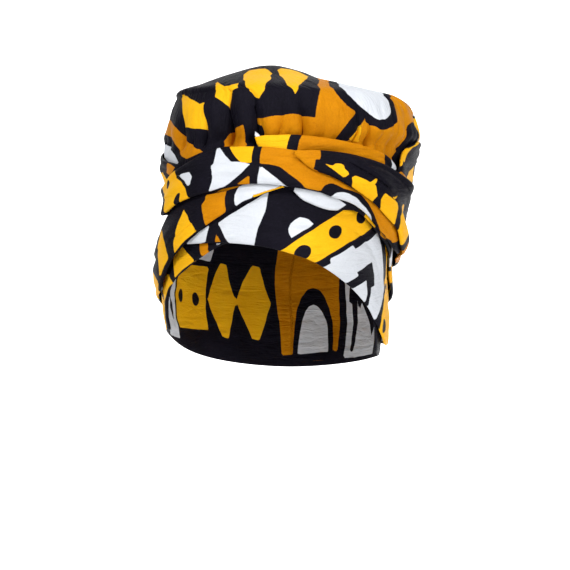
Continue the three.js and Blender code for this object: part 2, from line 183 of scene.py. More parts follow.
BACK_TURN = rows(
    EDGES,
    (57, 64, 70.5, 0.2), (60, 60, 76, 0.2), (66, 57.5, 84, 0.3), (75, 54, 89, 0.4),
    (88, 52.5, 91, 0.5), (150, 36, 86, 2), (180, 33, 84, 2), (240, 44, 88, 1.4),
    (258, 52, 87.5, 0.8), (276, 56, 83.2, 0.5), (317, 66, 74, 0.2),
)
FRONT_TURN = rows(
    EDGES,
    (-192, 22, 36, 0.2), (-184, 13, 45, 0.8), (-172, 14, 47, 1.4), (-150, 21, 50, 1.6),
    (-105, 37.5, 56.5, 0.6), (-90, 43, 59, 0.1), (-75, 44.3, 61, 0.1), (-62, 43.4, 62, 0.3),
    (-55, 43, 64.5, 1), (-47, 45.4, 69, 1.8), (-41, 49.2, 72.4, 2.2), (-18, 57.8, 83.5, 2.2),
    (-6, 60.8, 83.2, 2.2), (17, 55.9, 78, 1.6), (22, 53, 74.5, 1.6), (30, 49.4, 68.5, 1.5),
    (38.6, 42.6, 58.5, 1.4), (45, 35.8, 52, 1.1), (56.4, 27.6, 41, 0.8), (66, 22, 32, 0.5), (73, 19.5, 24, 0.2),
)
RIGHT_TURN = rows(
    EDGES,
    (8, 78.8, 80.2, 0.3), (14.4, 69.6, 80.6, 1.6), (21.3, 65, 80, 2.4), (27.6, 59.4, 79, 2.8),
    (38, 50.2, 76.2, 2.6), (47, 41.2, 72.8, 2.2), (56.6, 33.4, 67, 1.4), (61.5, 27.5, 64.2, 1), (66, 23.6, 62.2, 1),
    (75, 19, 58, 1.8), (84, 17, 54.5, 3.2),
    (96, 16, 51.8, 4.5), (120, 12.6, 50.4, 4.5), (150, 9, 49, 3.4), (185, 8, 50, 2.2), (196, 11, 47, 1.2), (202, 20, 38, 0.3),
)

# every turn from the inside out: closed round the head or open, and the size of its mesh, mm
TURNS = rows(
    ("name", "table", "closed", "grain", "wrinkle"),
    ("under_wrap", UNDER_WRAP, True, 1.7, 0.22),
    ("forehead_band", FOREHEAD_BAND, True, 1.25, 0.22),
    ("crown_puff", None, True, 1.38, 0.5),
    ("top_turn", TOP_TURN, False, 1.0, 0.3),
    ("back_turn", BACK_TURN, False, 1.3, 0.45),
    ("lower_turn", LOWER_TURN, True, 1.2, 0.3),
    ("front_turn", FRONT_TURN, False, 1.2, 0.35),
    ("right_turn", RIGHT_TURN, False, 1.15, 0.45),
)

# lengthwise pleats: a line on the turn by angle and height; the cloth above it (side 1) or
# below it (side -1) stands `rise` proud at the line and sinks back over `fall` millimetres
PLEATS = rows(
    ("turn", "side", "rise", "fall", "line"),
    ("front_turn", -1, 1.1, 9, ((-4, 76.5), (1, 75.6), (5, 75.2), (16, 71.6), (28, 68.2), (40, 62.5), (52, 53.5))),
    ("front_turn", 1, 0.9, 8, ((-60, 49), (-40, 58), (-18, 67), (0, 69))),
    ("front_turn", -1, 1.0, 10, ((-165, 38), (-130, 43), (-100, 49))),
    ("right_turn", -1, 2.4, 6, ((22, 77.5), (34, 75.5), (46, 72), (58, 66), (72, 59.5), (90, 55.5))),
    ("right_turn", -1, 2.1, 7, ((25, 72), (34, 70.5), (44, 67.8), (54, 62), (66, 55.5), (88, 47), (120, 41))),
    ("right_turn", 1, 1.6, 7, ((24, 77), (30, 72), (36, 66.5), (42, 61), (50, 55))),
    ("right_turn", -1, 1.5, 10, ((70, 36), (90, 32), (120, 28), (150, 26), (185, 26))),
    ("right_turn", 1, 1.1, 9, ((96, 24), (130, 17), (165, 15), (190, 18))),
    ("back_turn", -1, 1.4, 10, ((72, 80), (100, 80), (150, 74), (200, 72), (250, 79))),
    ("back_turn", -1, 1.2, 10, ((84, 68), (120, 64), (170, 57), (230, 63), (262, 70))),
    ("lower_turn", 1, 1.0, 9, ((-160, 6), (-120, 12), (-85, 16), (-60, 20), (-46, 30), (-36, 42))),
    ("lower_turn", -1, 0.9, 8, ((110, 3), (150, -2), (180, -4), (200, -3))),
    ("top_turn", -1, 0.7, 4, ((2, 85.4), (14, 86), (30, 83), (44, 79))),
    ("forehead_band", 1, 0.8, 10, ((28, 40), (40, 32), (54, 20), (66, 6), (74, -8))),
)


# ---------------------------------------------------------------- smooth runs through the tables
def run(xs, ys):
    """A smooth run through the rows of a table that never overshoots them."""
    x, y = np.asarray(xs, float), np.asarray(ys, float)
    d = np.diff(y) / np.diff(x)
    m = np.zeros(len(x))
    m[0], m[-1] = d[0], d[-1]
    for i in range(1, len(x) - 1):
        m[i] = 0.0 if d[i - 1] * d[i] <= 0 else 2 * d[i - 1] * d[i] / (d[i - 1] + d[i])

    def at(q):
        q = np.clip(np.asarray(q, float), x[0], x[-1])
        i = np.clip(np.searchsorted(x, q, side="right") - 1, 0, len(x) - 2)
        h = x[i + 1] - x[i]
        t = (q - x[i]) / h
        return (
            (1 + 2 * t) * (1 - t) ** 2 * y[i]
            + t * (1 - t) ** 2 * h * m[i]
            + t * t * (3 - 2 * t) * y[i + 1]
            + t * t * (t - 1) * h * m[i + 1]
        )

    return at


def column(table, key, name):
    return run([r[key] for r in table], [r[name] for r in table])


def around(table, name, closed):
    """A column of a table by angle round the head."""
    if not closed:
        return column(table, "at", name)
    at = [r["at"] for r in table]
    value = [r[name] for r in table]
    at = [at[-2] - 360, at[-1] - 360] + at + [at[0] + 360, at[1] + 360]
    value = value[-2:] + value + value[:2]
    return run(at, value)


def between(value, start):
    return (np.asarray(value, float) - start) % 360 + start


def ease(t):
    t = np.clip(t, 0, 1)
    return t * t * (3 - 2 * t)


mid_x = column(SECTIONS, "z", "midX")
mid_y = column(SECTIONS, "z", "midY")
inside_half = column(SECTIONS, "z", "half")
inside_front = column(SECTIONS, "z", "front")
inside_back = column(SECTIONS, "z", "back")
crown_half = column(CROWN_SECTIONS, "z", "half")
crown_front = column(CROWN_SECTIONS, "z", "front")
crown_back = column(CROWN_SECTIONS, "z", "back")
crown_hem = around(CROWN_HEM, "z", True)
CROWN_TOP = CROWN_SECTIONS[-1]["z"]


def oval(angle, half, front, back):
    s = np.abs(np.sin(np.radians(angle)))
    c = np.cos(np.radians(angle))
    reach = np.where(c > 0, front, back)
    return ((s / half) ** OVAL_POWER + (np.abs(c) / reach) ** OVAL_POWER) ** (-1 / OVAL_POWER)


def place(angle, z, r):
    a = np.radians(angle)
    return np.stack([mid_x(z) + r * np.sin(a), mid_y(z) - r * np.cos(a), z + 0 * r], -1)


# ---------------------------------------------------------------- the map of laid cloth
MAP_COLUMNS = int(round(360 / MAP_ANGLE))
MAP_ROWS = int(round((MAP_HIGH - MAP_LOW) / MAP_STEP)) + 1
MAP_AT = np.arange(MAP_COLUMNS) * MAP_ANGLE - 180.0
MAP_Z = MAP_LOW + np.arange(MAP_ROWS) * MAP_STEP
GRID_AT, GRID_Z = np.meshgrid(MAP_AT, MAP_Z, indexing="ij")


def shifted(a, i, j):
    b = np.roll(a, i, axis=0)
    if j > 0:
        b = np.concatenate([np.repeat(b[:, :1], j, 1), b[:, :-j]], 1)
    if j < 0:
        b = np.concatenate([b[:, -j:], np.repeat(b[:, -1:], -j, 1)], 1)
    return b


def spread(a, times):
    for _ in range(times):
        a = np.maximum(a, np.maximum(shifted(a, 1, 0), shifted(a, -1, 0)))
        a = np.maximum(a, np.maximum(shifted(a, 0, 1), shifted(a, 0, -1)))
    return a


def blurred(a, mask):
    total, weight = a * mask * 4, mask * 4.0
    for i, j, w in ((1, 0, 2), (-1, 0, 2), (0, 1, 2), (0, -1, 2), (1, 1, 1), (-1, 1, 1), (1, -1, 1), (-1, -1, 1)):
        m = shifted(mask, i, j)
        total = total + shifted(a * mask, i, j) * w
        weight = weight + m * w
    return np.where(mask > 0, total / np.maximum(weight, 1e-9), a)


def stretched(laid, mask):
    """A taut sheet over the laid cloth: never under it, straight across its hollows."""
    everywhere = np.ones_like(laid)
    floor = spread(laid, 2)
    for _ in range(2):
        floor = blurred(floor, everywhere)
    sheet = floor
    for _ in range(TAUT_PASSES):
        sheet = np.maximum(floor, blurred(sheet, mask))
    return blurred(sheet, mask)


def read(grid, angle, z):
    """Smooth reading of the map, periodic in angle."""
    u = (np.asarray(angle, float) - MAP_AT[0]) / MAP_ANGLE
    v = np.clip((np.asarray(z, float) - MAP_LOW) / MAP_STEP, 0, MAP_ROWS - 1.0001)
    i, j = np.floor(u).astype(int), np.floor(v).astype(int)
    fu, fv = u - i, v - j

    def shares(t):
        return (
            (-t + 2 * t * t - t**3) / 2,
            (2 - 5 * t * t + 3 * t**3) / 2,
            (t + 4 * t * t - 3 * t**3) / 2,
            (-t * t + t**3) / 2,
        )

    wu, wv = shares(fu), shares(fv)
    value = 0
    for a in range(4):
        for b in range(4):
            value = value + wu[a] * wv[b] * grid[(i + a - 1) % MAP_COLUMNS, np.clip(j + b - 1, 0, MAP_ROWS - 1)]
    return value


def lay_down(laid, points):
    """Raises the map to the outer face of a new piece, a net of points."""
    fine = points
    for axis in (0, 1):
        lo = np.take(fine, range(fine.shape[axis] - 1), axis)
        hi = np.take(fine, range(1, fine.shape[axis]), axis)
        both = np.stack([lo, (lo + hi) / 2], axis + 1)
        shape = list(lo.shape)
        shape[axis] *= 2
        fine = both.reshape(shape)
    x, y, z = fine[..., 0].ravel(), fine[..., 1].ravel(), fine[..., 2].ravel()
    dx, dy = x - mid_x(z), y - mid_y(z)
    at = np.degrees(np.arctan2(dx, -dy))
    i = np.round((at + 180) / MAP_ANGLE).astype(int) % MAP_COLUMNS
    j = np.round((z - MAP_LOW) / MAP_STEP).astype(int)
    ok = (j >= 0) & (j < MAP_ROWS)
    new = laid.copy()
    np.maximum.at(new, (i[ok], j[ok]), np.hypot(dx, dy)[ok])
    return new


# ---------------------------------------------------------------- folds
def waves(seed, count, long_from, long_to, across_from, across_to):
    """Seeded soft waves on the cloth: whole numbers of them round the head, so closed turns meet."""
    rng = np.random.default_rng(seed)
    around_head = 360 * ARC
    cycles = np.round(around_head / rng.uniform(long_from, long_to, count)) * rng.choice([-1, 1], count)
    across = 2 * math.pi / rng.uniform(across_from, across_to, count)
    phase = rng.uniform(0, 2 * math.pi, count)
    share = rng.uniform(0.5, 1.0, count)
    share /= math.sqrt(float((share**2).sum()) / 2)

    def at(angle, w):
        total = 0
        for k in range(count):
            total = total + share[k] * np.sin(cycles[k] * np.radians(angle) + across[k] * w + phase[k])
        return total

    return at


def pleats(name, angle, z):
    total = 0 * z
    for p in PLEATS:
        if p["turn"] != name:
            continue
        at = [q[0] for q in p["line"]]
        here = between(angle, at[0] - 60)
        s = (z - run(at, [q[1] for q in p["line"]])(here)) * p["side"]
        end = np.minimum(here - at[0], at[-1] - here)
        fade = ease(end / (0.28 * (at[-1] - at[0])))
        edge = ease((s + 1.0) / 1.7)
        body = np.exp(-np.maximum(s, 0) / p["fall"])
        dip = -0.35 * np.exp(-(((s + 2.2) / 2.0) ** 2))
        total = total + p["rise"] * fade * (edge * body + dip)
    return total


def creases(seed, count, u, v, box, slant, deep):
    """Seeded short creases: narrow valleys with a raised lip, mostly along u. box is the room
    that they have, (low u, high u, low v, high v); slant is how far they lean, degrees."""
    rng = np.random.default_rng(seed)
    total = 0 * v
    for _ in range(count):
        mid_u, mid_v = rng.uniform(box[0], box[1]), rng.uniform(box[2], box[3])
        way = math.radians(rng.uniform(-slant, slant))
        half, wide = rng.uniform(9, 34), rng.uniform(1.1, 2.4)
        deep_here, bend = rng.uniform(0.35, 1.0) * deep, rng.uniform(-0.004, 0.004)
        along = (u - mid_u) * math.cos(way) + (v - mid_v) * math.sin(way)
        off = -(u - mid_u) * math.sin(way) + (v - mid_v) * math.cos(way) + bend * along**2
        fade = ease(1 - np.abs(along) / half)
        total = total + deep_here * fade * (0.7 * np.exp(-(((off - 1.7 * wide) / (1.3 * wide)) ** 2)) - np.exp(-((off / wide) ** 2)))
    return total


def crown_press(angle, z):
    total = 0 * z
    for g in GATHERS:
        up = np.clip((z - 84) / (g["top"] - 84), 0, 1)
        off = between(angle - g["at"] - g["lean"] * up, -180)
        fade = (1 - ease((z - 87) / (g["top"] - 87))) * ease((z - 80) / 6)
        wide = g["wide"] * (1 + 0.7 * up)
        valley = np.exp(-np.sqrt((off / wide) ** 2 + 0.05) * 1.35) * math.exp(math.sqrt(0.05) * 1.35)
        ridge = np.exp(-(((np.abs(off) - 2.1 * wide) / (1.1 * wide)) ** 2))
        total = total + g["depth"] * fade * (valley - 0.16 * ridge)
    return total


def edge_rows(width, grain):
    """Shares of the way across a turn, close together at its two folded edges."""
    near = np.array([0, 0.12, 0.4, 0.85, EDGE_ROUND]) / max(width, 6 * EDGE_ROUND)
    middle = np.linspace(near[-1], 1 - near[-1], max(int(round(width * (1 - 2 * near[-1]) / grain)), 4) + 1)
    return np.concatenate([near[:-1], middle, (1 - near[:-1])[::-1]])


def swell_across(t):
    return 1 - 0.6 * (2 * t - 1) ** 4 - 0.4 * (2 * t - 1) ** 2


def outward(points, closed):
    """The way the cloth faces at every point of a net."""
    if closed:
        wide = np.concatenate([points[-2:-1], points, points[1:2]], 0)
        du = wide[2:] - wide[:-2]
    else:
        du = np.gradient(points, axis=0)
    dv = np.gradient(points, axis=1)
    n = np.cross(du, dv)
    return n / np.maximum(np.linalg.norm(n, axis=-1, keepdims=True), 1e-9)


def turn_net(turn, laid):
    """Angles, heights and radii of a turn's inner face; a closed one repeats its first column."""
    low = around(turn["table"], "low", turn["closed"])
    high = around(turn["table"], "high", turn["closed"])
    swell = around(turn["table"], "swell", turn["closed"])
    start = -180.0 if turn["closed"] else float(turn["table"][0]["at"])
    end = 180.0 if turn["closed"] else float(turn["table"][-1]["at"])
    here = between(GRID_AT, start - 2) if not turn["closed"] else GRID_AT
    mask = ((here <= end + 2) & (GRID_Z >= low(here) - 3) & (GRID_Z <= high(here) + 3)).astype(float)
    taut = stretched(laid, mask)
    angles = np.linspace(start, end, int(round((end - start) * ARC / turn["grain"])) + 1)
    widths = high(angles) - low(angles)
    t = edge_rows(float(np.percentile(widths, 80)), turn["grain"])
    a = np.repeat(angles[:, None], len(t), 1)
    z = low(a) + (high(a) - low(a)) * t[None, :]
    w = (z - (low(a) + high(a)) / 2)
    seed = sum(ord(c) for c in turn["name"])
    long_waves = waves(seed, 9, 70, 190, 9, 26)
    short_waves = waves(seed + 1, 9, 28, 70, 8, 20)
    ripple = 0.62 * long_waves(a, w) + 0.38 * short_waves(a, w)
    calm = ease(np.minimum(t, 1 - t) * 8)[None, :]
    lift = turn["wrinkle"] * (ripple + 0.6) * (0.35 + 0.65 * calm) + pleats(turn["name"], a, z)
    room = (start * ARC, end * ARC, -float(widths.max()) / 2, float(widths.max()) / 2)
    lift = lift + creases(seed + 2, int((end - start) * ARC * float(widths.mean()) / 420), a * ARC, w, room, 13, 2.1 * turn["wrinkle"]) * calm
    r = read(taut, a, z) + LAYER_GAP + swell(a) * swell_across(t)[None, :]
    floor = read(blurred(spread(laid, 2), np.ones_like(laid)), a, z)
    r = np.maximum(r + lift, floor + LAYER_GAP)
    return a, z, r, t


def crown_net(turn, laid):
    mask = (GRID_Z >= crown_hem(GRID_AT) - 3).astype(float)
    taut = stretched(laid, mask)
    heights = np.linspace(CROWN_SECTIONS[0]["z"], CROWN_TOP, 600)
    arc = np.concatenate([[0], np.cumsum(np.hypot(np.diff(heights), np.diff(crown_half(heights))))])
    skirt = 34.0
    count = int(round((skirt + arc[-1]) / turn["grain"]))
    along = np.linspace(0, skirt + arc[-1], count + 1)
    along = np.concatenate([[0, 0.15, 0.5, 0.95], along[1:]])
    angles = np.linspace(-180, 180, int(round(360 * ARC / turn["grain"])) + 1)
    a = np.repeat(angles[:, None], len(along), 1)
    s = np.repeat(along[None, :], len(angles), 0)
    foot = CROWN_SECTIONS[0]["z"]
    z = np.where(s < skirt, crown_hem(a) + (foot - crown_hem(a)) * s / skirt, np.interp(s - skirt, arc, heights))
    high = np.maximum(z, foot)
    swollen = oval(a, np.maximum(crown_half(high), 1e-6), np.maximum(crown_front(high), 1e-6), np.maximum(crown_back(high), 1e-6)) - CLOTH_WALL
    swollen = np.where(high >= CROWN_TOP - 1e-6, 0, swollen)
    b = ease((z - CROWN_FREE) / (CROWN_FULL - CROWN_FREE))
    rim = np.clip(swollen / 60, 0, 1)
    radial = waves(401, 10, 18, 60, 60, 180)
    slow = waves(402, 8, 70, 220, 40, 110)
    ripple = turn["wrinkle"] * (0.45 * radial(a, s) * ease((z - 84) / 8) * rim + 0.9 * slow(a, s) * rim)
    reach = along[-1] - s
    pulled = creases(403, 70, reach, between(a, -180) * ARC, (40, 92, -180 * ARC, 180 * ARC), 22, 1.3) * rim
    r = (read(taut, a, z) + LAYER_GAP) * (1 - b) + swollen * b + (ripple + pulled) * ease((z - 82) / 10) - crown_press(a, z) * rim
    floor = read(blurred(spread(laid, 2), np.ones_like(laid)), a, z) + LAYER_GAP
    r = np.where(z < 78, np.maximum(r, floor), r)
    return a, z, np.maximum(r, 0), along


def faces_of(turn, laid):
    """Inner and outer face of a piece as nets of points, and the angle and height of each point."""
    crown = turn["table"] is None
    a, z, r, t = crown_net(turn, laid) if crown else turn_net(turn, laid)
    inner = place(a, z, r)
    normal = outward(inner, turn["closed"])
    if crown:
        normal[:, -1] = (0, 0, 1)
        dist = t[None, :] + 0 * a
    else:
        low = around(turn["table"], "low", turn["closed"])(a)
        high = around(turn["table"], "high", turn["closed"])(a)
        dist = np.minimum(z - low, high - z)
        if not turn["closed"]:
            end = np.minimum(a - a[0, 0], a[-1, 0] - a) * ARC
            dist = np.minimum(dist, end)
    round_off = np.clip(dist / EDGE_ROUND, 0, 1)
    thick = CLOTH_WALL * (0.12 + 0.88 * np.sqrt(np.maximum(1 - (1 - round_off) ** 2, 0)))
    outer = inner + normal * thick[..., None]
    return dict(angle=a, z=z, share=t, inner=inner, outer=outer, normal=normal)


def all_faces():
    laid = oval(GRID_AT, inside_half(GRID_Z), inside_front(GRID_Z), inside_back(GRID_Z)) - LAYER_GAP
    made = {}
    for turn in TURNS:
        faces = faces_of(turn, laid)
        made[turn["name"]] = faces
        laid = lay_down(laid, faces["outer"])
    return made
# ---------------------------------------------------------------- the print
# Painted in the order of the rows over a black ground, with inks white, yellow, ochre and
# black. On a turn a corner is (angle round the head, height in mm); on the crown it is a place
# on the flat cloth, in mm from the middle of its top, x to the right and y to the back.
SHAPES = rows(
    ("turn", "ink", "corners"),
    # crown: chain of diamonds, ochre panels and the outlined white half disc
    ("crown_puff", "yellow", ((-58.5, -40), (-56.7, -48), (-53.8, -56.9), (-48, -67.9), (-43.5, -69.4), (-45.3, -70.3), (-47.3, -75.6), (-48.5, -80.1), (-48.9, -86.7), (-59.4, -78.2), (-68.7, -68.4), (-64.6, -61.8), (-63.3, -57.5), (-62.7, -44.2))),
    ("crown_puff", "yellow", ((-27.5, -44), (-25.7, -58.4), (-24.1, -63), (-20.5, -63.6), (-14.5, -59.3), (-15.8, -64), (-18.9, -68.7), (-23.1, -69.1), (-31.1, -81.4), (-36.7, -69.1), (-34.3, -65.6), (-29.5, -61.2))),
    ("crown_puff", "yellow", ((-11.3, -50.1), (-9.2, -36), (-7.9, -24), (-3.8, -21.8), (-0.5, -21.4), (5.2, -34), (4, -46), (2.2, -58), (-0.5, -68.1), (-5.5, -73.1), (-10.9, -80.1), (-14.7, -74.3), (-15.5, -72.4), (-11.8, -66.4), (-10.8, -55.5))),
    ("crown_puff", "yellow", ((5.9, -24.7), (6.7, -19.5), (11.5, -18.5), (18.4, -21.1), (23.7, -26), (25.1, -29), (22.5, -41.2), (19.7, -62), (17, -67.1), (10, -76.8), (10, -72.4), (11.6, -65), (10.2, -50.1), (10, -42.3), (8.7, -33))),
    ("crown_puff", "ochre", ((-84, -31.3), (-79, -48), (-75, -61.5), (-74, -73.4), (-66.4, -91.9), (-63.5, -96.6), (-59.9, -100.9), (-72.9, -95.5), (-79.1, -92.2), (-82.9, -84.7), (-85.3, -78.1), (-85.7, -70.4), (-84.5, -62.3), (-90.1, -44), (-95, -28), (-88, -24))),
    ("crown_puff", "white", ((-105, -12), (-100.9, -33.3), (-94, -58), (-90.4, -72.5), (-90.2, -83.6), (-97.7, -78.7), (-104.3, -60.3), (-110.3, -35), (-113, -12))),
    ("crown_puff", "ochre", ((-44.3, -104.7), (-43.8, -97.8), (-40.5, -93.5), (-26.8, -94.3), (-23.3, -93.9), (-24.6, -105.6), (-23.1, -111.9), (-32.5, -109.4))),
    ("crown_puff", "ochre", ((-14.8, -91.3), (-8, -92.7), (8.8, -90.3), (23.4, -90.2), (22.9, -85.7), (22.7, -76.2), (23.5, -71.8), (28.2, -62.8), (29.6, -54.1), (29.1, -42.7), (30.5, -25), (36, -25), (34.7, -44.9), (35.3, -52.8), (34.9, -58.6), (32.3, -66.6), (33.1, -69.9), (35.1, -72.2), (39.7, -75.1), (42.2, -76), (47.3, -75.6), (43.7, -91.7), (45.9, -99.2), (45.7, -108.3), (34.6, -113.2), (23.4, -116.6), (13.9, -117.9), (6.3, -115.2), (-1.1, -111), (-8, -107), (-10.8, -97.1), (-16.6, -93.5))),
    ("crown_puff", "black", ((36, -10), (34.7, -44.9), (35.3, -52.8), (34.9, -58.6), (32.3, -66.6), (33.1, -69.9), (35.1, -72.2), (39.7, -75.1), (42.2, -76), (47.3, -75.6), (53.2, -76), (56.7, -76.6), (64, -73.2), (68, -72.6), (72.4, -67.2), (75.7, -60), (76.2, -54), (73.1, -49.7), (69, -44.5), (67.5, -41), (67, -30), (66, -14), (60, 0), (44, 4))),
    ("crown_puff", "white", ((41, -14), (40.3, -38.8), (41.3, -49.1), (40.2, -56.9), (38.3, -62.3), (39.1, -66.5), (42.6, -69.1), (50.8, -70.5), (57.3, -69.8), (60, -69.9), (63.6, -68.9), (67, -64.3), (69, -57.5), (68.4, -52.3), (65.8, -48.4), (63.4, -44.7), (62.5, -36), (61.5, -20), (56, -8), (48, -6))),
    ("crown_puff", "ochre", ((56.7, -76.6), (64, -73.2), (68, -72.6), (72.4, -67.2), (75.7, -60), (76.2, -54), (73.1, -49.7), (69, -44.5), (67.5, -41), (68, -30), (69, -12), (84, -6), (92, -14), (89, -29.5), (87.5, -38.3), (88.5, -41.1), (93.7, -42.5), (98.7, -44.9), (101.1, -50.4), (98.2, -58.6), (99, -64.5), (104, -62), (103, -70), (100.2, -77.7), (88.5, -90.4), (74.5, -100.3), (63.6, -103), (53.6, -104.1), (53.9, -96.1), (52.8, -91.8), (64.4, -87.1), (57.4, -81.3), (55.3, -78.7), (54.2, -74.3))),
    ("crown_puff", "black", ((47, -75.1), (54.2, -74.3), (55.3, -78.7), (54.3, -82.4), (52.4, -87), (52.2, -92.2), (44.2, -94.9), (43.9, -90.1))),
    ("crown_puff", "black", ((87.6, -30), (87, -38.3), (88.5, -41.1), (93.7, -42.5), (98.7, -44.9), (101.1, -50.4), (98.2, -58.6), (99, -64.5), (106, -64), (114, -50), (118, -30), (112, -8), (98, -6), (91, -18))),
    ("crown_puff", "yellow", ((55.3, -78.7), (58.7, -82.4), (64.4, -87.1), (52.8, -91.8), (52.4, -86.7), (54.3, -82.4))),
    # back turn, right side
    ("back_turn", "yellow", ((75.5, 89), (82.5, 92), (88, 92), (72.5, 87), (63.5, 76), (61.5, 77), (69, 86))),
    ("back_turn", "yellow", ((66.5, 85), (69, 86), (65, 79.5), (58, 72), (59.5, 75), (63, 80.5))),
    ("back_turn", "yellow", ((88, 76), (66, 67), (66, 64.5), (72, 62), (86, 54), (94, 60), (97, 68))),
    ("back_turn", "ochre", ((58, 70), (56.5, 68.5), (62, 56), (66, 60), (66, 66))),
    ("back_turn", "black", ((281, 92), (304, 92), (304, 72), (300, 66), (281, 70))),
    ("back_turn", "ochre", ((305, 76), (313.5, 72.5), (308.5, 68), (304, 70))),
    ("back_turn", "yellow", ((284, 72.5), (297, 70.5), (303, 66.5), (304, 58), (284, 59))),
    # top turn
    ("top_turn", "white", ((-9.5, 93.5), (-6, 89.5), (-8, 89.3))),
    ("top_turn", "yellow", ((-8.5, 89.3), (-6, 89.5), (1.5, 91.5), (5.8, 91.5), (5.2, 80), (3, 79), (-5.5, 79), (-8, 84))),
    ("top_turn", "ochre", ((10.5, 92), (17.5, 92), (30.5, 88), (49, 82.5), (48.5, 78), (48.5, 75.5), (48, 71), (36, 74), (25.5, 76), (9, 78))),
    ("top_turn", "white", ((53.5, 78.5), (56, 76.5), (58.5, 74.5), (58, 72.5), (56, 70), (53, 71), (54, 73.5), (53.5, 76))),
    # front turn
    ("front_turn", "yellow", ((-66, 67), (-60, 63), (-60, 60), (-57, 57), (-50, 53), (-49, 48), (-49, 37), (-42, 37), (-36, 43), (-32, 52.5), (-33, 55), (-34, 57.5), (-35, 60), (-38, 63), (-42, 65.5), (-42, 67.5), (-44, 70), (-47, 74))),
    ("front_turn", "white", ((-40.5, 67), (-33.5, 68.5), (-31.5, 65.5), (-31.5, 63), (-32.5, 60), (-35.5, 63))),
    ("front_turn", "white", ((-22.5, 84), (-14.5, 73.5), (-9.5, 73), (-7.5, 72), (-9.5, 68.5), (-12, 65), (-17, 59), (-23, 56.5), (-22, 61.5), (-22, 67.5), (-23, 71.5), (-22, 72.5), (-22, 77))),
    ("front_turn", "yellow", ((-18.5, 86), (-13, 86), (-7, 86), (-7, 73), (-11, 73), (-14.5, 78.5))),
    ("front_turn", "ochre", ((-7.5, 66), (-8, 60.6), (-12.5, 60.6))),
    ("front_turn", "white", ((-4, 71), (0.5, 65.5), (6.5, 58.5), (2, 59), (-5, 60.4))),
    ("front_turn", "ochre", ((-3.5, 84), (1, 84), (8.5, 83), (24, 78), (30, 66), (32, 60), (36, 52.5), (41, 48.5), (50, 41), (60, 33), (65, 28.5), (60, 27), (54, 29.5), (48, 33.5), (43.8, 38.5), (38, 47.5), (36, 50.5), (33, 54), (29, 56.5), (25.5, 58), (23, 60), (21.5, 61), (20, 60.5), (18.5, 59), (17.5, 56.5), (12, 58.5), (6.5, 65.5), (3, 70.5), (-0.5, 72), (-4, 72))),
    ("front_turn", "white", ((21.5, 53.5), (23, 55.5), (25.5, 56), (28, 55), (31, 53), (34.5, 49), (39.5, 43), (42, 39), (37.5, 41), (32.5, 45), (28.5, 48), (24, 51))),
    # lower turn
    ("lower_turn", "ochre", ((-21.5, 55.5), (-13, 60), (-11, 59), (-16.5, 56))),
    ("lower_turn", "ochre", ((-25, 54), (-16.5, 55.5), (-16.5, 52), (-16, 48), (-15.5, 44.5), (-23, 36), (-24, 41), (-26, 48), (-24.5, 51))),
    ("lower_turn", "white", ((-12, 58.5), (-10, 60.5), (-0.5, 61), (3, 59.5), (-1, 56.6), (-5.5, 54), (-10, 50.5), (-12, 48), (-12.5, 48.5), (-13, 51.5), (-13, 54), (-12.5, 56.5))),
    ("lower_turn", "yellow", ((-7, 54.1), (-1, 56.9), (3.5, 59.5), (4.6, 58.9), (-1, 56.1), (-6.5, 53.3))),
    ("lower_turn", "yellow", ((-35.5, 46), (-31.5, 41), (-29.5, 38), (-26.5, 33), (-33, 26), (-39, 20), (-38.5, 24), (-38, 31), (-37, 37.5), (-36, 42.5))),
    ("lower_turn", "yellow", ((-54, 34.5), (-47.6, 29), (-45.2, 24.4), (-43.5, 17), (-48, 11), (-50.8, 6.3), (-52.4, 6.2), (-53, 11), (-54.4, 17.6), (-54.8, 27.2))),
    ("lower_turn", "white", ((-47.5, 46), (-50.8, 42.2), (-50.6, 40), (-53.6, 36.4), (-62, 33.5), (-74, 33), (-74, 48), (-57, 49))),
    ("lower_turn", "yellow", ((-66, 8.5), (-55.5, 2.5), (-55, 1), (-59.5, -6), (-64, -12), (-82, -14), (-90, -6), (-86, 4), (-76, 9))),
    ("lower_turn", "white", ((8.5, 58.5), (12.5, 59), (18, 58), (20, 56), (22, 54), (28.5, 48.5), (26.5, 46.5), (24.5, 44), (19, 46.5), (13.5, 49.5), (8, 53.5))),
    ("lower_turn", "yellow", ((38.5, 42), (38.5, 43.5), (46, 37.5), (46, 35.5))),
    ("lower_turn", "ochre", ((38.5, 50), (47, 48.5), (62, 32.5), (61, 31), (57, 29), (52, 31), (47.5, 37))),
    ("lower_turn", "white", ((66, 27), (90, 27), (98, 21), (94, 13), (84, 11), (77, 16), (70, 21))),
    ("lower_turn", "yellow", ((64, 13), (72, 10.5), (80, 8.5), (88, 8.5), (97, 9.5), (103, 4), (104, -10), (100, -22), (76, -22), (64, -14), (62, 2))),
    # first turn, under the left end of the lower turn
    ("under_wrap", "yellow", ((-39, 24), (-27.5, 14.5), (-40.5, 4.5), (-41.5, 7.5), (-46, 15), (-47.5, 19.5))),
    ("under_wrap", "ochre", ((-27, 26), (-22.5, 26.5), (-21.5, 20), (-24.5, 17), (-26, 21))),
    ("under_wrap", "white", ((-18.5, 25), (-16, 25.5), (-18, 23.5))),
    ("under_wrap", "yellow", ((-60, 9.5), (-47.5, 6), (-43, 2), (-48, -2.5), (-53, -9.5), (-55, -9.5), (-57, -6), (-64, -1), (-68, 4))),
    ("under_wrap", "yellow", ((-66, -4.5), (-57, -9.5), (-54, -13), (-58, -24), (-62, -28), (-76, -26), (-74, -12))),
    # band over the forehead
    ("forehead_band", "white", ((-22, 36), (-22.5, 26), (-34, 24))),
    ("forehead_band", "ochre", ((-18, 31), (-16, 26.5), (-18.5, 26))),
    ("forehead_band", "white", ((-18.5, 37), (-1, 56), (-1, 44), (-2.5, 35), (-3, 22), (-11.5, 23))),
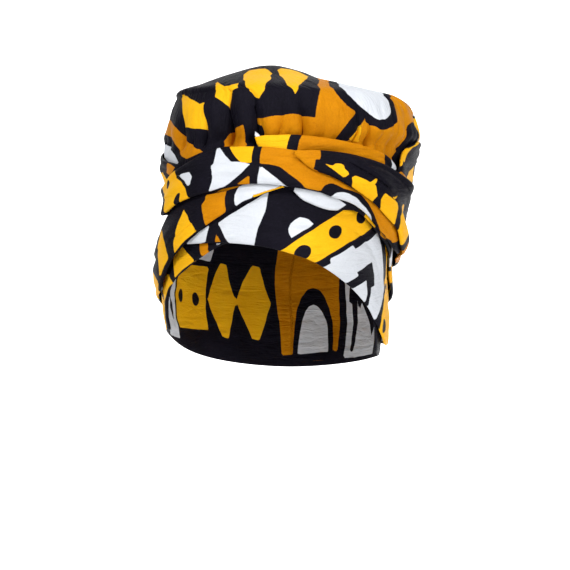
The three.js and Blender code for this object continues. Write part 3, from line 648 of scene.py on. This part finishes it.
    ("forehead_band", "white", ((17.5, 36.5), (15.5, 39), (13.5, 40), (12, 40.5), (10.5, 39), (9, 36.5), (8.5, 33.5), (9, 31), (10.5, 28))),
    ("forehead_band", "yellow", ((6.5, 20), (13.5, 28), (19.5, 35.5), (27.5, 44), (32, 47.5), (36, 47), (41, 45), (49.5, 37), (42.5, 32), (35.5, 26.5), (30, 22.5), (21, 13.5), (16, 8))),
    ("forehead_band", "white", ((25, 11), (27.5, 13.5), (26.5, 16), (36.5, 24), (38, 22), (48, 29), (52, 32.3), (55, 29.5), (61.5, 20.5), (68, 13), (72.5, 6.7), (74, 1), (72.5, -4), (70, -7.5), (66, -11.5), (62, -16.5), (60.5, -19), (58.5, -23), (56, -28), (40, -12), (27, 3))),
    ("forehead_band", "black", ((34, -1), (43, 6), (41.5, 8), (45.5, 10.5), (52, 14.5), (56, 6.5), (57, -0.5), (54, -1.5), (53, -8.5), (53, -16), (50, -16), (51, -5.5), (50, -0.5), (49.5, 3.5), (38, -4))),
    ("forehead_band", "yellow", ((62.3, 28.5), (67.7, 22.7), (74, 16.9), (77.5, 12), (79.5, 6), (79.5, 0), (76, -4.5), (71.5, -9.5), (68.5, -14.5), (65, -19.5), (63.5, -25), (68, -34), (76, -42), (98, -44), (104, -30), (106, -16), (108, 0), (106, 6), (98, 9.7), (88.5, 16.4), (85, 20.3), (77.4, 25.7), (67.3, 29.1))),
    # right turn
    ("right_turn", "ochre", ((8, 82), (17, 82), (17.5, 77), (17, 74.5), (15.5, 75), (14.8, 70), (20, 67), (27, 64.5), (31, 61.5), (36, 54), (38, 49), (28, 56), (12.5, 63), (8, 75))),
    ("right_turn", "black", ((14.8, 70.5), (19, 74), (27.6, 64.3), (38, 50.5), (38, 48), (30, 56.5), (24.5, 62), (18, 66.5))),
    ("right_turn", "yellow", ((18.5, 72.5), (21.2, 71), (21.9, 72.1), (24.2, 72), (25.2, 71.2), (25.2, 69.3), (26.4, 67.1), (26.5, 65.8), (24.9, 64.1))),
    ("right_turn", "yellow", ((27.6, 64.3), (28.9, 65.5), (36.5, 60.1), (38.2, 54.2), (37.6, 52.5), (37.6, 49.8), (28.1, 59.9))),
    ("right_turn", "yellow", ((37.6, 64.8), (37.1, 62.5), (35.8, 60.5), (34.2, 61.6))),
    ("right_turn", "yellow", ((40.8, 55.9), (49.5, 49.8), (50.9, 46.9), (50.9, 40.2), (52.3, 36.7), (42.1, 45.6), (40, 52.2))),
    ("right_turn", "yellow", ((45.4, 53.5), (47.2, 53.3), (49.3, 54.6), (49.7, 54), (47.3, 52.1))),
    ("right_turn", "yellow", ((60, 50.5), (64, 49.5), (68, 46.5), (71, 41), (69, 34), (65.5, 27.5), (62.5, 22), (59.5, 26), (57.2, 31), (55, 37), (54.2, 42), (56.5, 47))),
    ("right_turn", "ochre", ((84, 41), (79, 37), (74.5, 32), (71, 26.5), (69, 20), (74, 12), (100, 8), (112, 20), (110, 36), (96, 41))),
)
# black dots on the yellow: middle, half width and half height in mm, lean in degrees
DOTS = rows(
    ("turn", "at", "z", "wide", "high", "lean"),
    ("front_turn", -49.5, 62, 2.4, 3.0, 0),
    ("front_turn", -56, 55, 2.4, 2.0, 0),
    ("front_turn", -39, 52, 2.3, 4.3, -28),
    ("forehead_band", 27, 32, 4.1, 4.3, 10),
    ("forehead_band", 15.5, 19.5, 4.4, 4.5, 10),
    ("forehead_band", 38.5, 41, 4.2, 3.8, 0),
    ("forehead_band", 88, -3, 6.0, 4.4, 0),
    ("forehead_band", 70, -25.5, 4.8, 4.2, -20),
)
# the sides, back and top carry the same repeat: one motif after another along each turn
REPEATS = rows(
    ("turn", "start", "end", "pitch", "low", "high", "first"),
    ("under_wrap", 60, 282, 44, -52, -18, 1),
    ("forehead_band", 112, 290, 52, -34, 2, 3),
    ("lower_turn", 88, 264, 58, -20, 22, 2),
    ("back_turn", 104, 300, 62, 36, 86, 0),
    ("front_turn", -190, -72, 60, 20, 52, 2),
    ("right_turn", 112, 202, 60, 10, 49, 1),
)
MOTIFS = ("panel", "chain", "dotted", "arrow")
CROWN_FRONT = ((-140, -140), (140, -140), (120, -30), (86, -22), (60, 6), (34, 18), (10, -6), (-30, -14), (-60, -20), (-100, -10), (-130, -4))
CROWN_REPEATS = rows(
    ("motif", "x", "y", "long", "high", "turn"),
    ("chain", -62, 14, 88, 30, 78),
    ("dotted", 96, 8, 66, 30, 92),
    ("panel", 48, 52, 62, 46, 130),
    ("arrow", -6, 62, 52, 44, 100),
    ("panel", -52, 70, 56, 44, 40),
    ("chain", 12, 104, 92, 26, 184),
    ("arrow", 92, 62, 46, 38, 150),
    ("dotted", -100, 50, 60, 28, 60),
    ("panel", 2, 14, 34, 34, 10),
)


def inside_by(corners, x, y):
    """Distance in mm to the outline of a closed shape, positive inside it."""
    px = np.array([c[0] for c in corners], float)
    py = np.array([c[1] for c in corners], float)
    near = np.full(x.shape, 1e9)
    inside = np.zeros(x.shape, bool)
    for k in range(len(px)):
        ax, ay = px[k], py[k]
        bx, by = px[(k + 1) % len(px)], py[(k + 1) % len(px)]
        ex, ey = bx - ax, by - ay
        t = np.clip(((x - ax) * ex + (y - ay) * ey) / max(ex * ex + ey * ey, 1e-9), 0, 1)
        near = np.minimum(near, (x - ax - t * ex) ** 2 + (y - ay - t * ey) ** 2)
        if ay != by:
            cross = ((ay > y) != (by > y)) & (x < ax + (y - ay) * ex / ey)
            inside ^= cross
    return np.where(inside, 1, -1) * np.sqrt(near)


class Ink:
    """The inks on one piece, each as a distance to its edge."""

    def __init__(self, x, y):
        self.x, self.y = x, y
        self.by = {name: np.full(x.shape, -6.0) for name in ("white", "yellow", "ochre")}

    def lay(self, ink, d):
        d = np.clip(d, -6, 6)
        for name in self.by:
            if name == ink:
                self.by[name] = np.maximum(self.by[name], d)
            else:
                self.by[name] = np.minimum(self.by[name], -d)

    def shape(self, ink, corners):
        cx = [c[0] for c in corners]
        cy = [c[1] for c in corners]
        ok = (self.x > min(cx) - 6) & (self.x < max(cx) + 6) & (self.y > min(cy) - 6) & (self.y < max(cy) + 6)
        if not ok.any():
            return
        d = np.full(self.x.shape, -6.0)
        d[ok] = inside_by(corners, self.x[ok], self.y[ok])
        self.lay(ink, d)

    def dot(self, ink, x, y, wide, high, lean=0):
        a = math.radians(lean)
        u = (self.x - x) * math.cos(a) + (self.y - y) * math.sin(a)
        v = -(self.x - x) * math.sin(a) + (self.y - y) * math.cos(a)
        self.lay(ink, (1 - np.sqrt((u / wide) ** 2 + (v / high) ** 2)) * min(wide, high))


def turned(corners, x, y, turn):
    a = math.radians(turn)
    return [(x + u * math.cos(a) - v * math.sin(a), y + u * math.sin(a) + v * math.cos(a)) for u, v in corners]


def draw_motif(ink, motif, x, y, long, high, turn):
    """One motif of the repeat, in a field `long` by `high` millimetres."""
    h, w = high / 2, long / 2

    def shape(name, corners):
        ink.shape(name, turned(corners, x, y, turn))

    if motif == "panel":  # ochre panel with an outlined white half disc on its lower side
        shape("ochre", ((-w * 0.94, -h * 0.9), (w * 0.9, -h * 0.98), (w * 0.97, h * 0.9), (-w * 0.88, h * 0.98)))
        for name, size in (("black", 0.66), ("white", 0.5)):
            ring = [(size * w * math.cos(k * math.pi / 12) - w * 0.1, -h * 0.9 + (size * 1.75) * h * math.sin(k * math.pi / 12)) for k in range(13)]
            shape(name, ring)
        shape("black", ((-w * 0.94, -h * 0.9), (w * 0.9, -h * 0.98), (w * 0.9, -h * 0.84), (-w * 0.94, -h * 0.78)))
    if motif == "chain":  # yellow diamonds in a row
        count = max(int(round(long / 24)), 2)
        step = long / count
        for k in range(count):
            mid = -w + (k + 0.5) * step
            tip = step * 0.5
            shape("yellow", ((mid - tip, 0), (mid - tip * 0.25, -h * 0.62), (mid + tip * 0.2, -h * 0.6), (mid + tip, 0), (mid + tip * 0.25, h * 0.62), (mid - tip * 0.2, h * 0.6)))
    if motif == "dotted":  # yellow band with black dots
        shape("yellow", ((-w, -h * 0.55), (w, -h * 0.62), (w, h * 0.52), (-w, h * 0.58)))
        count = max(int(round(long / 19)), 2)
        for k in range(count):
            (dx, dy), = turned([(-w + (k + 0.5) * long / count, -h * 0.03)], x, y, turn)
            ink.dot("black", dx, dy, 4.2, 4.6, turn)
        shape("white", ((-w, h * 0.68), (w, h * 0.66), (w, h), (-w, h)))
    if motif == "arrow":  # white field with a stepped black arrow
        shape("white", ((-w * 0.95, -h * 0.92), (w * 0.9, -h * 0.96), (w * 0.96, h * 0.9), (-w * 0.9, h * 0.95)))
        shape("black", ((w * 0.62, h * 0.7), (w * 0.04, h * 0.42), (w * 0.16, h * 0.2), (-w * 0.62, -h * 0.42), (-w * 0.5, -h * 0.62), (w * 0.24, -h * 0.02), (w * 0.34, -h * 0.2)))
        shape("black", ((w * 0.62, h * 0.7), (w * 0.3, h * 0.1), (w * 0.44, h * 0.02), (w * 0.5, -h * 0.86), (w * 0.66, -h * 0.86), (w * 0.68, -h * 0.05), (w * 0.82, 0)))


def uneven(seed, x, y, long_from, long_to):
    """Seeded soft unevenness over the flat cloth, about -1 to 1."""
    rng = np.random.default_rng(seed)
    total = 0
    for k in range(9):
        way, turns = rng.uniform(0, 2 * math.pi), 2 * math.pi / rng.uniform(long_from, long_to)
        total = total + np.sin(turns * (x * math.cos(way) + y * math.sin(way)) + rng.uniform(0, 2 * math.pi))
    return total / 3


def print_on(turn, faces):
    """How far every point of a piece is inside each ink, millimetres."""
    name = turn["name"]
    a, z = faces["angle"], faces["z"]
    if turn["table"] is None:
        rho = faces["share"][-1] - faces["share"][None, :] + 0 * a
        x, y = rho * np.sin(np.radians(a)), -rho * np.cos(np.radians(a))
    else:
        repeats = [r for r in REPEATS if r["turn"] == name]
        if turn["closed"]:
            a = between(a, max(r["end"] for r in repeats) - 360)
        x, y = a * ARC, z
    ink = Ink(x + 0.13 * uneven(31, x, y, 7, 20), y + 0.13 * uneven(32, x, y, 7, 20))
    if turn["table"] is None:
        for r in CROWN_REPEATS:
            draw_motif(ink, r["motif"], r["x"], r["y"], r["long"], r["high"], r["turn"])
        ink.shape("black", CROWN_FRONT)
    else:
        low, high = around(turn["table"], "low", turn["closed"]), around(turn["table"], "high", turn["closed"])
        for r in repeats:
            count = max(int(round((r["end"] - r["start"]) * ARC / r["pitch"])), 1)
            step = (r["end"] - r["start"]) / count
            for k in range(count):
                at = r["start"] + (k + 0.5) * step
                here, ahead = (between(q, -180) if turn["closed"] else q for q in (at - 5, at + 5))
                before, after = float(low(here) + high(here)) / 2, float(low(ahead) + high(ahead)) / 2
                tall = float(high(here) - low(here) + high(ahead) - low(ahead)) * 0.49
                slope = math.degrees(math.atan2(after - before, 10 * ARC))
                draw_motif(ink, MOTIFS[(r["first"] + k) % 4], at * ARC, (before + after) / 2, step * ARC * 0.96, tall, slope)
    for s in SHAPES:
        if s["turn"] == name:
            wide = 1 if turn["table"] is None else ARC
            ink.shape(s["ink"], [(c[0] * wide, c[1]) for c in s["corners"]])
    for d in DOTS:
        if d["turn"] == name:
            ink.dot("black", d["at"] * ARC, d["z"], d["wide"], d["high"], d["lean"])
    return ink.by


# ---------------------------------------------------------------- meshes
def mesh_of(turn, faces):
    """A closed mesh between a piece's two faces, with the flat cloth as its UV map, in metres."""
    crown = turn["table"] is None
    inner, outer = faces["inner"] / 1000, faces["outer"] / 1000
    if crown:
        # the ring next to the pole lies halfway between the pole and the ring outside it
        for face in (inner, outer):
            face[:, -2] = (face[:, -1] + face[:, -3]) / 2
    columns, count = inner.shape[0], inner.shape[1]
    wrap = turn["closed"]
    kept = columns - 1 if wrap else columns
    grid = np.arange(columns * count).reshape(columns, count)
    to = grid.copy()
    if wrap:
        to[-1] = to[0]
    if crown:
        to[:, -1] = to[0, -1]
    total = columns * count
    quads, corners = [], []

    def sheet_faces(flip, base):
        a, b, c, d = grid[:-1, :-1], grid[1:, :-1], grid[1:, 1:], grid[:-1, 1:]
        order = (a, b, c, d) if not flip else (a, d, c, b)
        return np.stack([q.ravel() for q in order], 1) + base

    def strip(line, flip):
        a, b = line[:-1], line[1:]
        order = (a, a + total, b + total, b) if flip else (a, b, b + total, a + total)
        return np.stack(order, 1)

    quads.append(sheet_faces(False, total))
    quads.append(sheet_faces(True, 0))
    quads.append(strip(grid[:, 0], False))
    if not crown:
        quads.append(strip(grid[:, -1], True))
    if not wrap:
        quads.append(strip(grid[0, :], True))
        quads.append(strip(grid[-1, :], False))
    quads = np.concatenate(quads)
    points = np.concatenate([inner.reshape(-1, 3), outer.reshape(-1, 3)])
    weld = np.concatenate([to.ravel(), to.ravel() + total])
    used, back = np.unique(weld, return_inverse=True)
    points = points[used]
    ids = back[quads]
    u = np.concatenate([faces["flat_x"].ravel()] * 2) / 1000
    v = np.concatenate([faces["flat_y"].ravel()] * 2) / 1000
    me = bpy.data.meshes.new(turn["name"] + "_cloth")
    polygons, loops_u, loops_v = [], [], []
    starts, lengths, loop_ids = [], [], []
    same = ids[:, 2] == ids[:, 3]
    same_first = ids[:, 0] == ids[:, 3]
    same_low = ids[:, 1] == ids[:, 2]
    keep4 = ~(same | same_first | same_low)
    four = np.nonzero(keep4)[0]
    three = np.nonzero(~keep4)[0]
    corner4 = np.tile(np.arange(4), (len(four), 1))
    corner3 = np.where(same[three, None], [[0, 1, 2]], np.where(same_first[three, None], [[0, 1, 2]], [[0, 1, 3]]))
    flat_ids = np.concatenate([ids[four[:, None], corner4].ravel(), ids[three[:, None], corner3].ravel()])
    flat_src = np.concatenate([quads[four[:, None], corner4].ravel(), quads[three[:, None], corner3].ravel()])
    sizes = np.concatenate([np.full(len(four), 4), np.full(len(three), 3)])
    me.vertices.add(len(points))
    me.vertices.foreach_set("co", points.astype(np.float32).ravel())
    me.loops.add(len(flat_ids))
    me.loops.foreach_set("vertex_index", flat_ids.astype(np.int32))
    me.polygons.add(len(sizes))
    me.polygons.foreach_set("loop_start", np.concatenate([[0], np.cumsum(sizes)[:-1]]).astype(np.int32))
    me.polygons.foreach_set("use_smooth", np.ones(len(sizes), bool))
    uv = me.uv_layers.new(name="flat_cloth")
    uv.data.foreach_set("uv", np.stack([u[flat_src], v[flat_src]], 1).astype(np.float32).ravel())
    me.update(calc_edges=True)
    if me.validate():
        raise RuntimeError(turn["name"] + ": the mesh had faults")
    source = used % total
    for number, name in ((0, "pull_along"), (1, "pull_across")):
        attribute = me.attributes.new(name, "FLOAT", "POINT")
        attribute.data.foreach_set("value", faces["pull"][number].ravel()[source].astype(np.float32))
    for ink, d in faces["ink"].items():
        attribute = me.attributes.new("ink_" + ink, "FLOAT", "POINT")
        attribute.data.foreach_set("value", d.ravel()[source].astype(np.float32))
    piece = bpy.data.objects.new(turn["name"] + "_cloth", me)
    bpy.context.scene.collection.objects.link(piece)
    return piece


# ---------------------------------------------------------------- printed cotton
def srgb(r, g, b):
    def lin(c):
        c /= 255
        return c / 12.92 if c <= 0.04045 else ((c + 0.055) / 1.055) ** 2.4

    return (lin(r), lin(g), lin(b), 1.0)


INKS = rows(
    ("ink", "deep", "pale"),
    ("black", (11, 10, 16), (25, 23, 33)),
    ("ochre", (182, 110, 4), (212, 138, 14)),
    ("yellow", (238, 168, 16), (249, 190, 30)),
    ("white", (204, 208, 215), (222, 225, 230)),
)
THREAD = 0.00046  # metres from one thread of the weave to the next
BLEED = 0.16  # millimetres over which one ink meets the next


def cotton():
    mat = bpy.data.materials.new("printed_cotton")
    mat.use_nodes = True
    nodes, links = mat.node_tree.nodes, mat.node_tree.links
    nodes.clear()

    def node(kind, **values):
        n = nodes.new(kind)
        for key, value in values.items():
            if key in n.inputs.keys():
                n.inputs[key].default_value = value
            else:
                setattr(n, key, value)
        return n

    def wire(a, out, b, into):
        links.new(a.outputs[out], b.inputs[into])

    def sum_of(a, operation, b=None, **extra):
        m = node("ShaderNodeMath", operation=operation)
        for k, v in enumerate((a, b)):
            if v is None:
                continue
            if isinstance(v, (int, float)):
                m.inputs[k].default_value = v
            else:
                links.new(v, m.inputs[k])
        for k, v in extra.items():
            setattr(m, k, v)
        return m.outputs[0]

    out = node("ShaderNodeOutputMaterial")
    shader = node("ShaderNodeBsdfPrincipled", Metallic=0.0)
    wire(shader, "BSDF", out, "Surface")
    shader.inputs["Specular IOR Level"].default_value = 0.035

    flat = node("ShaderNodeUVMap", uv_map="flat_cloth")
    place_at = node("ShaderNodeTexCoord")

    # mottle of the dye, broad and fine
    broad = node("ShaderNodeTexNoise", Scale=34.0, Detail=4.0, Roughness=0.62)
    wire(place_at, "Object", broad, "Vector")
    fine = node("ShaderNodeTexNoise", Scale=900.0, Detail=3.0, Roughness=0.7)
    wire(place_at, "Object", fine, "Vector")
    mottle = sum_of(sum_of(broad.outputs["Fac"], "MULTIPLY", 1.5), "ADD", sum_of(sum_of(fine.outputs["Fac"], "SUBTRACT", 0.5), "MULTIPLY", 0.9))
    mottle = sum_of(mottle, "SUBTRACT", 0.25, use_clamp=True)

    def tone(row):
        mix = node("ShaderNodeMix", data_type="RGBA")
        links.new(mottle, mix.inputs["Factor"])
        mix.inputs["A"].default_value = srgb(*row["deep"])
        mix.inputs["B"].default_value = srgb(*row["pale"])
        return mix.outputs["Result"]

    # a slightly furred edge where one ink meets the next
    fur = sum_of(sum_of(fine.outputs["Fac"], "SUBTRACT", 0.5), "MULTIPLY", 0.35)
    colour = tone(INKS[0])
    for row in INKS[1:]:
        inside = node("ShaderNodeAttribute", attribute_name="ink_" + row["ink"], attribute_type="GEOMETRY")
        share = node("ShaderNodeMapRange", interpolation_type="SMOOTHSTEP")
        links.new(sum_of(inside.outputs["Fac"], "ADD", fur), share.inputs["Value"])
        share.inputs["From Min"].default_value = -BLEED
        share.inputs["From Max"].default_value = BLEED
        mix = node("ShaderNodeMix", data_type="RGBA")
        links.new(share.outputs["Result"], mix.inputs["Factor"])
        links.new(colour, mix.inputs["A"])
        links.new(tone(row), mix.inputs["B"])
        colour = mix.outputs["Result"]

    # plain weave: two sets of threads, over and under each other
    split = node("ShaderNodeSeparateXYZ")
    wire(flat, "UV", split, "Vector")
    turns = math.pi / THREAD
    u = sum_of(split.outputs["X"], "MULTIPLY", turns)
    v = sum_of(split.outputs["Y"], "MULTIPLY", turns)
    warp = sum_of(sum_of(u, "SINE"), "ABSOLUTE")
    weft = sum_of(sum_of(v, "SINE"), "ABSOLUTE")
    over = sum_of(sum_of(sum_of(sum_of(u, "MULTIPLY", 1.0), "COSINE"), "MULTIPLY", sum_of(v, "COSINE")), "SIGN")
    side = sum_of(sum_of(over, "MULTIPLY", 0.5), "ADD", 0.5)
    first = sum_of(warp, "MULTIPLY", side)
    second = sum_of(weft, "MULTIPLY", sum_of(1.0, "SUBTRACT", side))
    weave = sum_of(first, "ADD", second)
    # the ink colour is multiplied by the weave height, from 0.9 between the threads to 1.03 on their tops: painted
    # shade in the hollows of the weave and a faint painted highlight on the threads
    shade = node("ShaderNodeMapRange")
    links.new(weave, shade.inputs["Value"])
    shade.inputs["To Min"].default_value = 0.9
    shade.inputs["To Max"].default_value = 1.03
    toned = node("ShaderNodeMix", data_type="RGBA", blend_type="MULTIPLY")
    toned.inputs["Factor"].default_value = 1.0
    links.new(colour, toned.inputs["A"])
    links.new(shade.outputs["Result"], toned.inputs["B"])
    links.new(toned.outputs["Result"], shader.inputs["Base Color"])

    rough = node("ShaderNodeMapRange")
    links.new(broad.outputs["Fac"], rough.inputs["Value"])
    rough.inputs["To Min"].default_value = 0.46
    rough.inputs["To Max"].default_value = 0.64
    links.new(rough.outputs["Result"], shader.inputs["Roughness"])

    # fine wrinkles, drawn out the way the cloth is pulled
    along = node("ShaderNodeAttribute", attribute_name="pull_along", attribute_type="GEOMETRY")
    across = node("ShaderNodeAttribute", attribute_name="pull_across", attribute_type="GEOMETRY")
    height = None
    for scale, stretch, deep in ((0.16, 0.22, 1.0), (0.45, 0.3, 0.4)):
        drawn = node("ShaderNodeCombineXYZ")
        links.new(sum_of(along.outputs["Fac"], "MULTIPLY", scale * stretch), drawn.inputs["X"])
        links.new(sum_of(across.outputs["Fac"], "MULTIPLY", scale), drawn.inputs["Y"])
        wrinkle = node("ShaderNodeTexNoise", Scale=1.0, Detail=2.0, Roughness=0.5, Distortion=0.6)
        links.new(drawn.outputs["Vector"], wrinkle.inputs["Vector"])
        folded = sum_of(sum_of(wrinkle.outputs["Fac"], "SUBTRACT", 0.5), "ABSOLUTE")
        folded = sum_of(folded, "MULTIPLY", deep)
        height = folded if height is None else sum_of(height, "ADD", folded)
    soft = node("ShaderNodeBump", Strength=0.55, Distance=0.003)
    links.new(height, soft.inputs["Height"])
    close = node("ShaderNodeBump", Strength=0.3, Distance=0.00012)
    links.new(weave, close.inputs["Height"])
    links.new(soft.outputs["Normal"], close.inputs["Normal"])
    links.new(close.outputs["Normal"], shader.inputs["Normal"])
    return mat


# ---------------------------------------------------------------- the camera, floor and light
def aimed(kind, name, place_at, towards, **values):
    data = bpy.data.lights.new(name, kind)
    for key, value in values.items():
        setattr(data, key, value)
    light = bpy.data.objects.new(name, data)
    light.location = place_at
    way = Vector(towards) - Vector(place_at)
    light.rotation_euler = way.to_track_quat("-Z", "Y").to_euler()
    bpy.context.scene.collection.objects.link(light)
    return light


def stage_and_light():
    scene = bpy.context.scene
    turn = math.radians(6.0)
    ahead = (-math.sin(turn), math.cos(turn), 0.0)
    right = (math.cos(turn), math.sin(turn), 0.0)
    cam = bpy.data.cameras.new("camera")
    cam.sensor_width = 36.0
    cam.lens = 36.0 * 2360 / 570
    cam.clip_start, cam.clip_end = 0.05, 60
    eye = bpy.data.objects.new("camera", cam)
    eye.location = tuple(-1.5 * ahead[k] + 0.00254 * right[k] for k in range(3))
    eye.rotation_euler = (math.pi / 2, 0, turn)
    scene.collection.objects.link(eye)
    scene.camera = eye

    floor = bpy.data.meshes.new("floor")
    steps = 24
    line = [(-6.0, -0.28), (2.2, -0.28)]
    line += [(2.2 + 1.6 * math.sin(k * math.pi / 2 / steps), -0.28 + 1.6 * (1 - math.cos(k * math.pi / 2 / steps))) for k in range(1, steps + 1)]
    line += [(3.8, 5.5)]
    verts = [(x, y, z) for y, z in line for x in (-7.0, 7.0)]
    floor.from_pydata(verts, [], [(2 * k, 2 * k + 1, 2 * k + 3, 2 * k + 2) for k in range(len(line) - 1)])
    floor.polygons.foreach_set("use_smooth", [True] * len(floor.polygons))
    ground = bpy.data.objects.new("floor", floor)
    ground.rotation_euler = (0, 0, turn)
    scene.collection.objects.link(ground)
    pale = bpy.data.materials.new("pale_floor")
    pale.use_nodes = True
    bsdf = pale.node_tree.nodes["Principled BSDF"]
    bsdf.inputs["Roughness"].default_value = 0.9
    bsdf.inputs["Specular IOR Level"].default_value = 0.1
    grain = pale.node_tree.nodes.new("ShaderNodeTexNoise")
    grain.inputs["Scale"].default_value = 3.0
    tint = pale.node_tree.nodes.new("ShaderNodeMix")
    tint.data_type = "RGBA"
    tint.inputs["A"].default_value = (0.93, 0.93, 0.93, 1)
    tint.inputs["B"].default_value = (0.95, 0.95, 0.95, 1)
    pale.node_tree.links.new(grain.outputs["Fac"], tint.inputs["Factor"])
    pale.node_tree.links.new(tint.outputs["Result"], bsdf.inputs["Base Color"])
    floor.materials.append(pale)

    world = bpy.data.worlds.new("studio")
    world.use_nodes = True
    world.node_tree.nodes["Background"].inputs["Color"].default_value = (0.97, 0.985, 1.0, 1)
    world.node_tree.nodes["Background"].inputs["Strength"].default_value = 0.24
    scene.world = world
    scene.view_settings.view_transform = "Standard"
    scene.view_settings.look = "None"

    aimed("AREA", "key", (-0.7, -1.25, 1.2), (0, 0, 0.05), energy=19, size=0.4)
    aimed("AREA", "fill", (1.1, -1.5, 0.35), (0, 0, 0.03), energy=16.5, size=0.8)
    aimed("AREA", "over", (0.45, -0.45, 1.6), (0, 0, 0.1), energy=11, size=0.6)
    aimed("AREA", "wall", (0.0, 1.2, 1.6), (0, 3.8, 0.5), energy=130, size=2.4)
    aimed("AREA", "wall_low", (0.0, 0.9, 0.9), (0, 2.6, -0.28), energy=40, size=1.6)


# ---------------------------------------------------------------- put together
FLATS = rows(  # the cloth of each turn laid flat, metres
    ("turn", "wide", "long", "area", "held", "on"),
    ("under_wrap", 0.075, 0.56, None, "folded", ()),
    ("forehead_band", 0.048, 0.575, None, "folded", ("under_wrap",)),
    ("crown_puff", 0.29, 0.29, 0.066, "gathered", ("forehead_band", "under_wrap")),
    ("top_turn", 0.015, 0.118, None, "folded", ("crown_puff",)),
    ("back_turn", 0.046, 0.41, None, "folded", ("crown_puff",)),
    ("lower_turn", 0.042, 0.60, None, "folded", ("forehead_band", "back_turn")),
    ("front_turn", 0.028, 0.445, None, "folded", ("lower_turn",)),
    ("right_turn", 0.042, 0.34, None, "folded", ("front_turn", "lower_turn")),
)

cotton_print = cotton()
made = all_faces()
for turn in TURNS:
    faces = made[turn["name"]]
    faces["ink"] = print_on(turn, faces)
    if turn["table"] is None:
        reach = faces["share"][-1] - faces["share"][None, :]
        faces["flat_x"] = reach * np.sin(np.radians(faces["angle"]))
        faces["flat_y"] = -reach * np.cos(np.radians(faces["angle"]))
        faces["pull"] = (reach + 0 * faces["angle"], faces["angle"] * ARC)
    else:
        faces["flat_x"], faces["flat_y"] = faces["angle"] * ARC, faces["z"]
        faces["pull"] = (faces["flat_x"], faces["flat_y"])
    piece = mesh_of(turn, faces)
    piece.data.materials.append(cotton_print)
    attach(piece, "root")
    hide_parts(turn["name"])
for f in FLATS:
    piece = bpy.data.objects[f["turn"] + "_cloth"]
stage_and_light()
